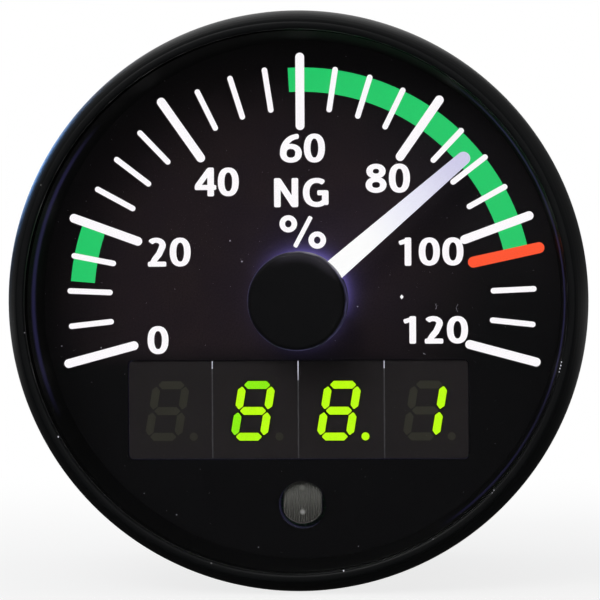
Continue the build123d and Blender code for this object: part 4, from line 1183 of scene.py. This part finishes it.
bodies = [(x, z, (reach, reach * speck_tall, reach * speck_thick), dial_depth + reach * speck_lift)
          for x, z, reach in seen_specks]
bodies += [(x, z, (reach * lip_speck_wide, reach, lip_speck_thick), bezel_front - lip_speck_sunk)
           for x, z, reach in lip_specks]
for fibre in lint:
    for (x1, z1), (x2, z2) in zip(fibre, fibre[1:]):
        for share in (step / lint_steps for step in range(lint_steps + 1)):
            x, z = x1 + (x2 - x1) * share, z1 + (z2 - z1) * share
            bodies.append((x, z, lint_size, dial_depth + lint_lift))
lint_and_specks = small_bodies("lint_and_specks", bodies, dust_grey)
pinhole_light = small_bodies("pinhole_light", [(*pinhole, pinhole_size, dial_depth)], white_light)
print("specks:", len(seen_specks) + len(lip_specks), "fibres:", len(lint))

# %% [markdown]
# ## Screws and studs at the back
# Small screws of one kind are made once and repeated. The pan head is turned, a cross recess is cut into it,
# and a second tree sets copies on their centres and turns each a little differently, as real ones are left. A
# thread is a small ridge that follows a spiral round its core.

# %% A part repeated at points
repeating, given = new_tree("repeated_part", {"Part": "Object", "Turn": "Float", "Seed": "Int"})
model = add(repeating, "GeometryNodeObjectInfo", {"Object": given["Part"]})
by_chance = add(repeating, "FunctionNodeRandomValue", {3: given["Turn"], "Seed": given["Seed"]},
                data_type="FLOAT")
end_tree(given, copied(given["Geometry"], model["Geometry"], Rotation=vector(repeating, 0.0, by_chance[1])))


def repeated(name, part, centres, turn, seed):
    """Copies of a part at points, joined into one piece. The part itself is then removed."""
    values = {"Part": part, "Turn": turn, "Seed": seed, "Material": part.data.materials[0]}
    made = made_by(repeating, name, values, [place(x, z, 0) for x, z in centres])
    bpy.data.objects.remove(part)
    return made


# %% A thread along a core
threading, given = new_tree("thread", {
    "Turns": "Float", "Radius": "Float", "Length": "Float", "Ridge": "Float", "Start depth": "Float"})
spiral = add(threading, "GeometryNodeCurveSpiral", {
    "Resolution": 28, "Rotations": given["Turns"], "Start Radius": given["Radius"],
    "End Radius": given["Radius"], "Height": given["Length"]})
ridge = add(threading, "GeometryNodeCurvePrimitiveCircle", {"Resolution": 4, "Radius": given["Ridge"]})
ridged = swept(spiral[0], ridge[0], **{"Fill Caps": True})
end_tree(given, moved(ridged, vector(threading, 0.0, given["Start depth"] * -1.0), axis_to_depth))


def joined(name, parts):
    """Several meshes of one material made one. The parts are then removed."""
    together = bmesh.new()
    for part in parts:
        together.from_mesh(part.data)
    mesh = bpy.data.meshes.new(name)
    together.to_mesh(mesh)
    together.free()
    mesh.materials.append(parts[0].data.materials[0])
    for face in mesh.polygons:
        face.material_index = 0
    for part in parts:
        bpy.data.objects.remove(part)
    return new_object(name, mesh)


# %% Pan head screws with a cross recess
cover_back = -42.0
fixing_radius = 25.0
head_height, pan_radius, shank_radius, shank_end = 1.2, 1.8, 1.0, -36.6
crown_flat, crown_round, crown_share = 0.62, 0.93, 0.45
recess_length, recess_width, recess_depth = 2.0, 0.42, 1.3


def cross_screw(name):
    """One screw in the middle of the cover, its head backwards and its recess cut into it."""
    crown_depth = cover_back - head_height
    side_depth = crown_depth + crown_share * head_height
    corners = [(0.0, crown_depth), (pan_radius * crown_flat, crown_depth),
               (pan_radius * crown_round, (crown_depth + side_depth) / 2), (pan_radius, side_depth),
               (pan_radius, cover_back), (shank_radius, cover_back), (shank_radius, shank_end),
               (0.0, shank_end)]
    screw = turned_piece(name, corners, steel, 0.08, 40)
    cutters = []
    for width, height in ((recess_length, recess_width), (recess_width, recess_length)):
        cutter = bmesh.new()
        bmesh.ops.create_cube(cutter, size=1.0)
        bmesh.ops.scale(cutter, verts=cutter.verts, vec=(width * MM, recess_depth * MM, height * MM))
        bmesh.ops.translate(cutter, verts=cutter.verts, vec=(0, -crown_depth * MM, 0))
        mesh = bpy.data.meshes.new("recess")
        cutter.to_mesh(mesh)
        cutter.free()
        tool = new_object("recess", mesh)
        cut = screw.modifiers.new("recess", "BOOLEAN")
        cut.operation = "DIFFERENCE"
        cut.solver = "EXACT"
        cut.object = tool
        cutters.append(tool)
    plain_copy(screw)
    for tool in cutters:
        bpy.data.objects.remove(tool)
    return screw


screw_centres = [(fixing_radius, 0), (0, fixing_radius), (-fixing_radius, 0), (0, -fixing_radius)]
cover_screws = repeated("crossed_cover_screws", cross_screw("one_cover_screw"), screw_centres, full_turn, 3)
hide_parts("cover_screws")

# %% Mounting studs with their threads
stud_tip = -56.0
collar_front, collar_radius, stud_radius = -38.0, 2.5, 1.66
stud_spacing = 34.0
thread_turns, thread_radius, thread_length, thread_ridge, thread_start = 18.0, 1.65, 12.8, 0.33, 0.5
core = turned_piece("one_stud", [
    (0.0, collar_front), (collar_radius, collar_front), (collar_radius, cover_back),
    (stud_radius, cover_back - 0.1), (stud_radius, stud_tip + 0.6), (1.2, stud_tip), (0.0, stud_tip)],
    steel, 0.05, 40)
stud_thread = made_by(threading, "stud_thread", {
    "Turns": thread_turns, "Radius": thread_radius * MM, "Length": thread_length * MM,
    "Ridge": thread_ridge * MM, "Start depth": (cover_back - thread_start) * MM,
    "Material": steel}, body=None)
stud = joined("one_threaded_stud", [core, stud_thread])
studs = repeated("threaded_studs", stud, [(0, stud_spacing / 2), (0, -stud_spacing / 2)], 0.0, 5)
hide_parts("mounting_studs")

# %% [markdown]
# ## Wire on the coils and legs on the processor
# The works are inside the case, but they are finished too. A coil's turns are rounded loops stacked along its
# core, and the processor's legs are one bent leg, repeated along a side and then turned to the other three.

# %% Coil wire
wire_turns, wire_radius, loop_rounding = 52, 0.078, 0.5
bobbin_ends, bobbin_sides = 1.3, 0.9
winding, given = new_tree("stacked_turns", {
    "Turns": "Int", "Pitch": "Float", "Wide": "Float", "Deep": "Float", "Wire radius": "Float",
    "Start": "Vector"})
loop = add(winding, "GeometryNodeCurvePrimitiveQuadrilateral", {
    "Width": given["Wide"], "Height": given["Deep"]})
soft_loop = add(winding, "GeometryNodeFilletCurve", {
    "Curve": loop[0], "Count": 4, "Radius": loop_rounding * MM, "Limit Radius": True}, mode="POLY")
wire_round = add(winding, "GeometryNodeCurvePrimitiveCircle", {
    "Resolution": 6, "Radius": given["Wire radius"]})
stack = add(winding, "GeometryNodeMeshLine", {
    "Count": given["Turns"], "Offset": vector(winding, 0.0, 0.0, given["Pitch"]),
    "Start Location": given["Start"]})
end_tree(given, copied(stack[0], smooth(swept(soft_loop[0], wire_round[0]))))
for side in ("left", "right"):
    low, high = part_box(side + "_coil")
    middle = (low + high) / 2
    wire = made_by(winding, side + "_coil_wire", {
        "Turns": wire_turns, "Pitch": (high.z - low.z - bobbin_ends * MM) / (wire_turns - 1),
        "Wide": high.x - low.x - bobbin_sides * MM, "Deep": high.y - low.y - bobbin_sides * MM,
        "Wire radius": wire_radius * MM, "Start": (middle.x, middle.y, low.z + bobbin_ends / 2 * MM),
        "Material": copper})

# %% Legs round the processor
legs_a_side, leg_pitch, leg_width = 16, 0.5, 0.24
leg_bars = [((0.14, 0.5), (0.7, 0.2)), ((0.72, 0.14), (0.4, 0.5)), ((0.14, 0.6), (0.07, 0.78))]
legging, given = new_tree("legs_on_four_sides", {
    "Legs": "Int", "Pitch": "Float", "To side": "Float", "Board": "Float"})
one_leg = add(legging, "GeometryNodeJoinGeometry")
for (deep, tall), (out, along_leg) in leg_bars:
    leg_bar = add(legging, "GeometryNodeMeshCube", {"Size": (leg_width * MM, deep * MM, tall * MM)})
    fill(one_leg, {0: moved(leg_bar[0], (0, out * MM, along_leg * MM))})
legs_here = copied(centred_row(given, "Legs", given["To side"]), one_leg[0])
four_sides = add(legging, "GeometryNodeJoinGeometry")
for quarter in range(4):
    fill(four_sides, {0: moved(legs_here, rotation=(0, math.radians(90 * quarter), 0))})
end_tree(given, moved(four_sides[0], vector(legging, 0.0, given["Board"])))
chip_low, chip_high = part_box("processor_chip")
chip_legs = made_by(legging, "processor_legs", {
    "Legs": legs_a_side, "Pitch": leg_pitch * MM, "To side": chip_high.x - 0.2 * MM, "Board": chip_low.y,
    "Material": tin})

# %% [markdown]
# ## Studio
# A plain pale floor and soft light. The picture's background is pure white, so rays from the camera meet
# white. Shiny surfaces mirror a much dimmer room, a little brighter overhead and straight behind the gauge.
# In front of the gauge the room is darkest, as it is when a lit dial is photographed: otherwise the window
# would mirror a bright room over the dial.

# %% Floor
floor_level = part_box("bezel")[0][2]
floor_reach = 3.0
dim_room = 0.02
shadow_from, shadow_gone, darkest = 0.03, 0.2, 0.8
floor_mesh = bpy.data.meshes.new("floor")
corner_signs = ((-1, -1), (1, -1), (1, 1), (-1, 1))
floor_mesh.from_pydata([(x * floor_reach, y * floor_reach, floor_level) for x, y in corner_signs],
                       [], [(0, 1, 2, 3)])
floor = new_object("floor", floor_mesh)
floor_paper = new_material("floor_paper")
tree = floor_paper.node_tree
shader = shader_of(floor_paper)
fill(shader, {"Base Color": blended(noise(tree, 0.8, 3.0), grey(0.80), grey(0.84)), "Roughness": 0.9,
              "Specular IOR Level": 0.1})
rays = add(tree, "ShaderNodeLightPath")
where = add(tree, "ShaderNodeTexCoord")["Object"]
away = add(tree, "ShaderNodeVectorMath", {0: where}, operation="LENGTH")["Value"]
passed_on = largest(rays["Is Glossy Ray"], rays["Is Transmission Ray"])
mirrored = scaled(grey(1.0), ramped(parts_of(where)[1], 0.0, 0.3, dim_room, 0.3))
white = add(tree, "ShaderNodeEmission", {"Color": blended(passed_on, grey(1.0), mirrored), "Strength": 1.0})
seen = rays["Is Camera Ray"] * ramped(away, shadow_from, shadow_gone, darkest)
lifted = add(tree, "ShaderNodeMixShader", {0: largest(seen, passed_on), 1: shader[0], 2: white[0]})
fill(tree.nodes["Material Output"], {0: lifted[0]})
floor_mesh.materials.append(floor_paper)
print("floor at", round(floor_level / MM, 2), "mm")

# %% Surroundings
world = bpy.data.worlds.new("studio")
bpy.context.scene.world = world
world.use_nodes = True
tree = world.node_tree
low_level, overhead_level, behind_level = 0.03, 0.14, 0.3
x, y, z = parts_of(add(tree, "ShaderNodeTexCoord")["Generated"])
rays = add(tree, "ShaderNodeLightPath")
overhead = ramped(z, -0.3, 0.6, low_level, overhead_level) * ramped(y, -0.7, 0.1)
straight_behind = ramped(y, 0.9, 1.0) * ramped(z, 0.0, 0.2) * behind_level
shine = scaled(grey(1.0), maths("MAXIMUM", overhead + straight_behind, dim_room))
through = scaled(grey(1.0), ramped(y, -0.5, 0.1, dim_room, 1.0))
soft_light = blended(ramped(z, -0.8, 0.8), grey(0.16), grey(0.5))
after_shine = blended(rays["Is Glossy Ray"], soft_light, shine)
after_glass = blended(rays["Is Transmission Ray"], after_shine, through)
fill(tree.nodes["Background"], {
    "Color": blended(rays["Is Camera Ray"], after_glass, grey(1.0)), "Strength": 1.0})
print("surroundings:", world.name)

# %% Lamps
def lamp(name, x, y, z, size, power, tint=(1.0, 1.0, 1.0)):
    """A square soft lamp that looks at the dial."""
    light = bpy.data.lights.new(name, "AREA")
    light.color = tint
    light.shape = "SQUARE"
    light.size = size
    light.energy = power
    holder = new_object(name, light)
    holder.location = (x, y, z)
    holder.rotation_euler = Vector((x, y, z)).to_track_quat("Z", "Y").to_euler()


lamp("key_lamp", -0.4, -1.1, 0.8, 0.8, 8.5)
lamp("fill_lamp", 0.45, -1.3, 0.35, 0.9, 2.0)
lamp("back_lamp", -0.15, 1.4, 0.6, 0.9, 1.8)
lamp("edge_lamp", -0.66, 1.5, 0.26, 0.26, 1.8, (0.2, 0.46, 1.0))
print("lamps:", len(bpy.data.lights))
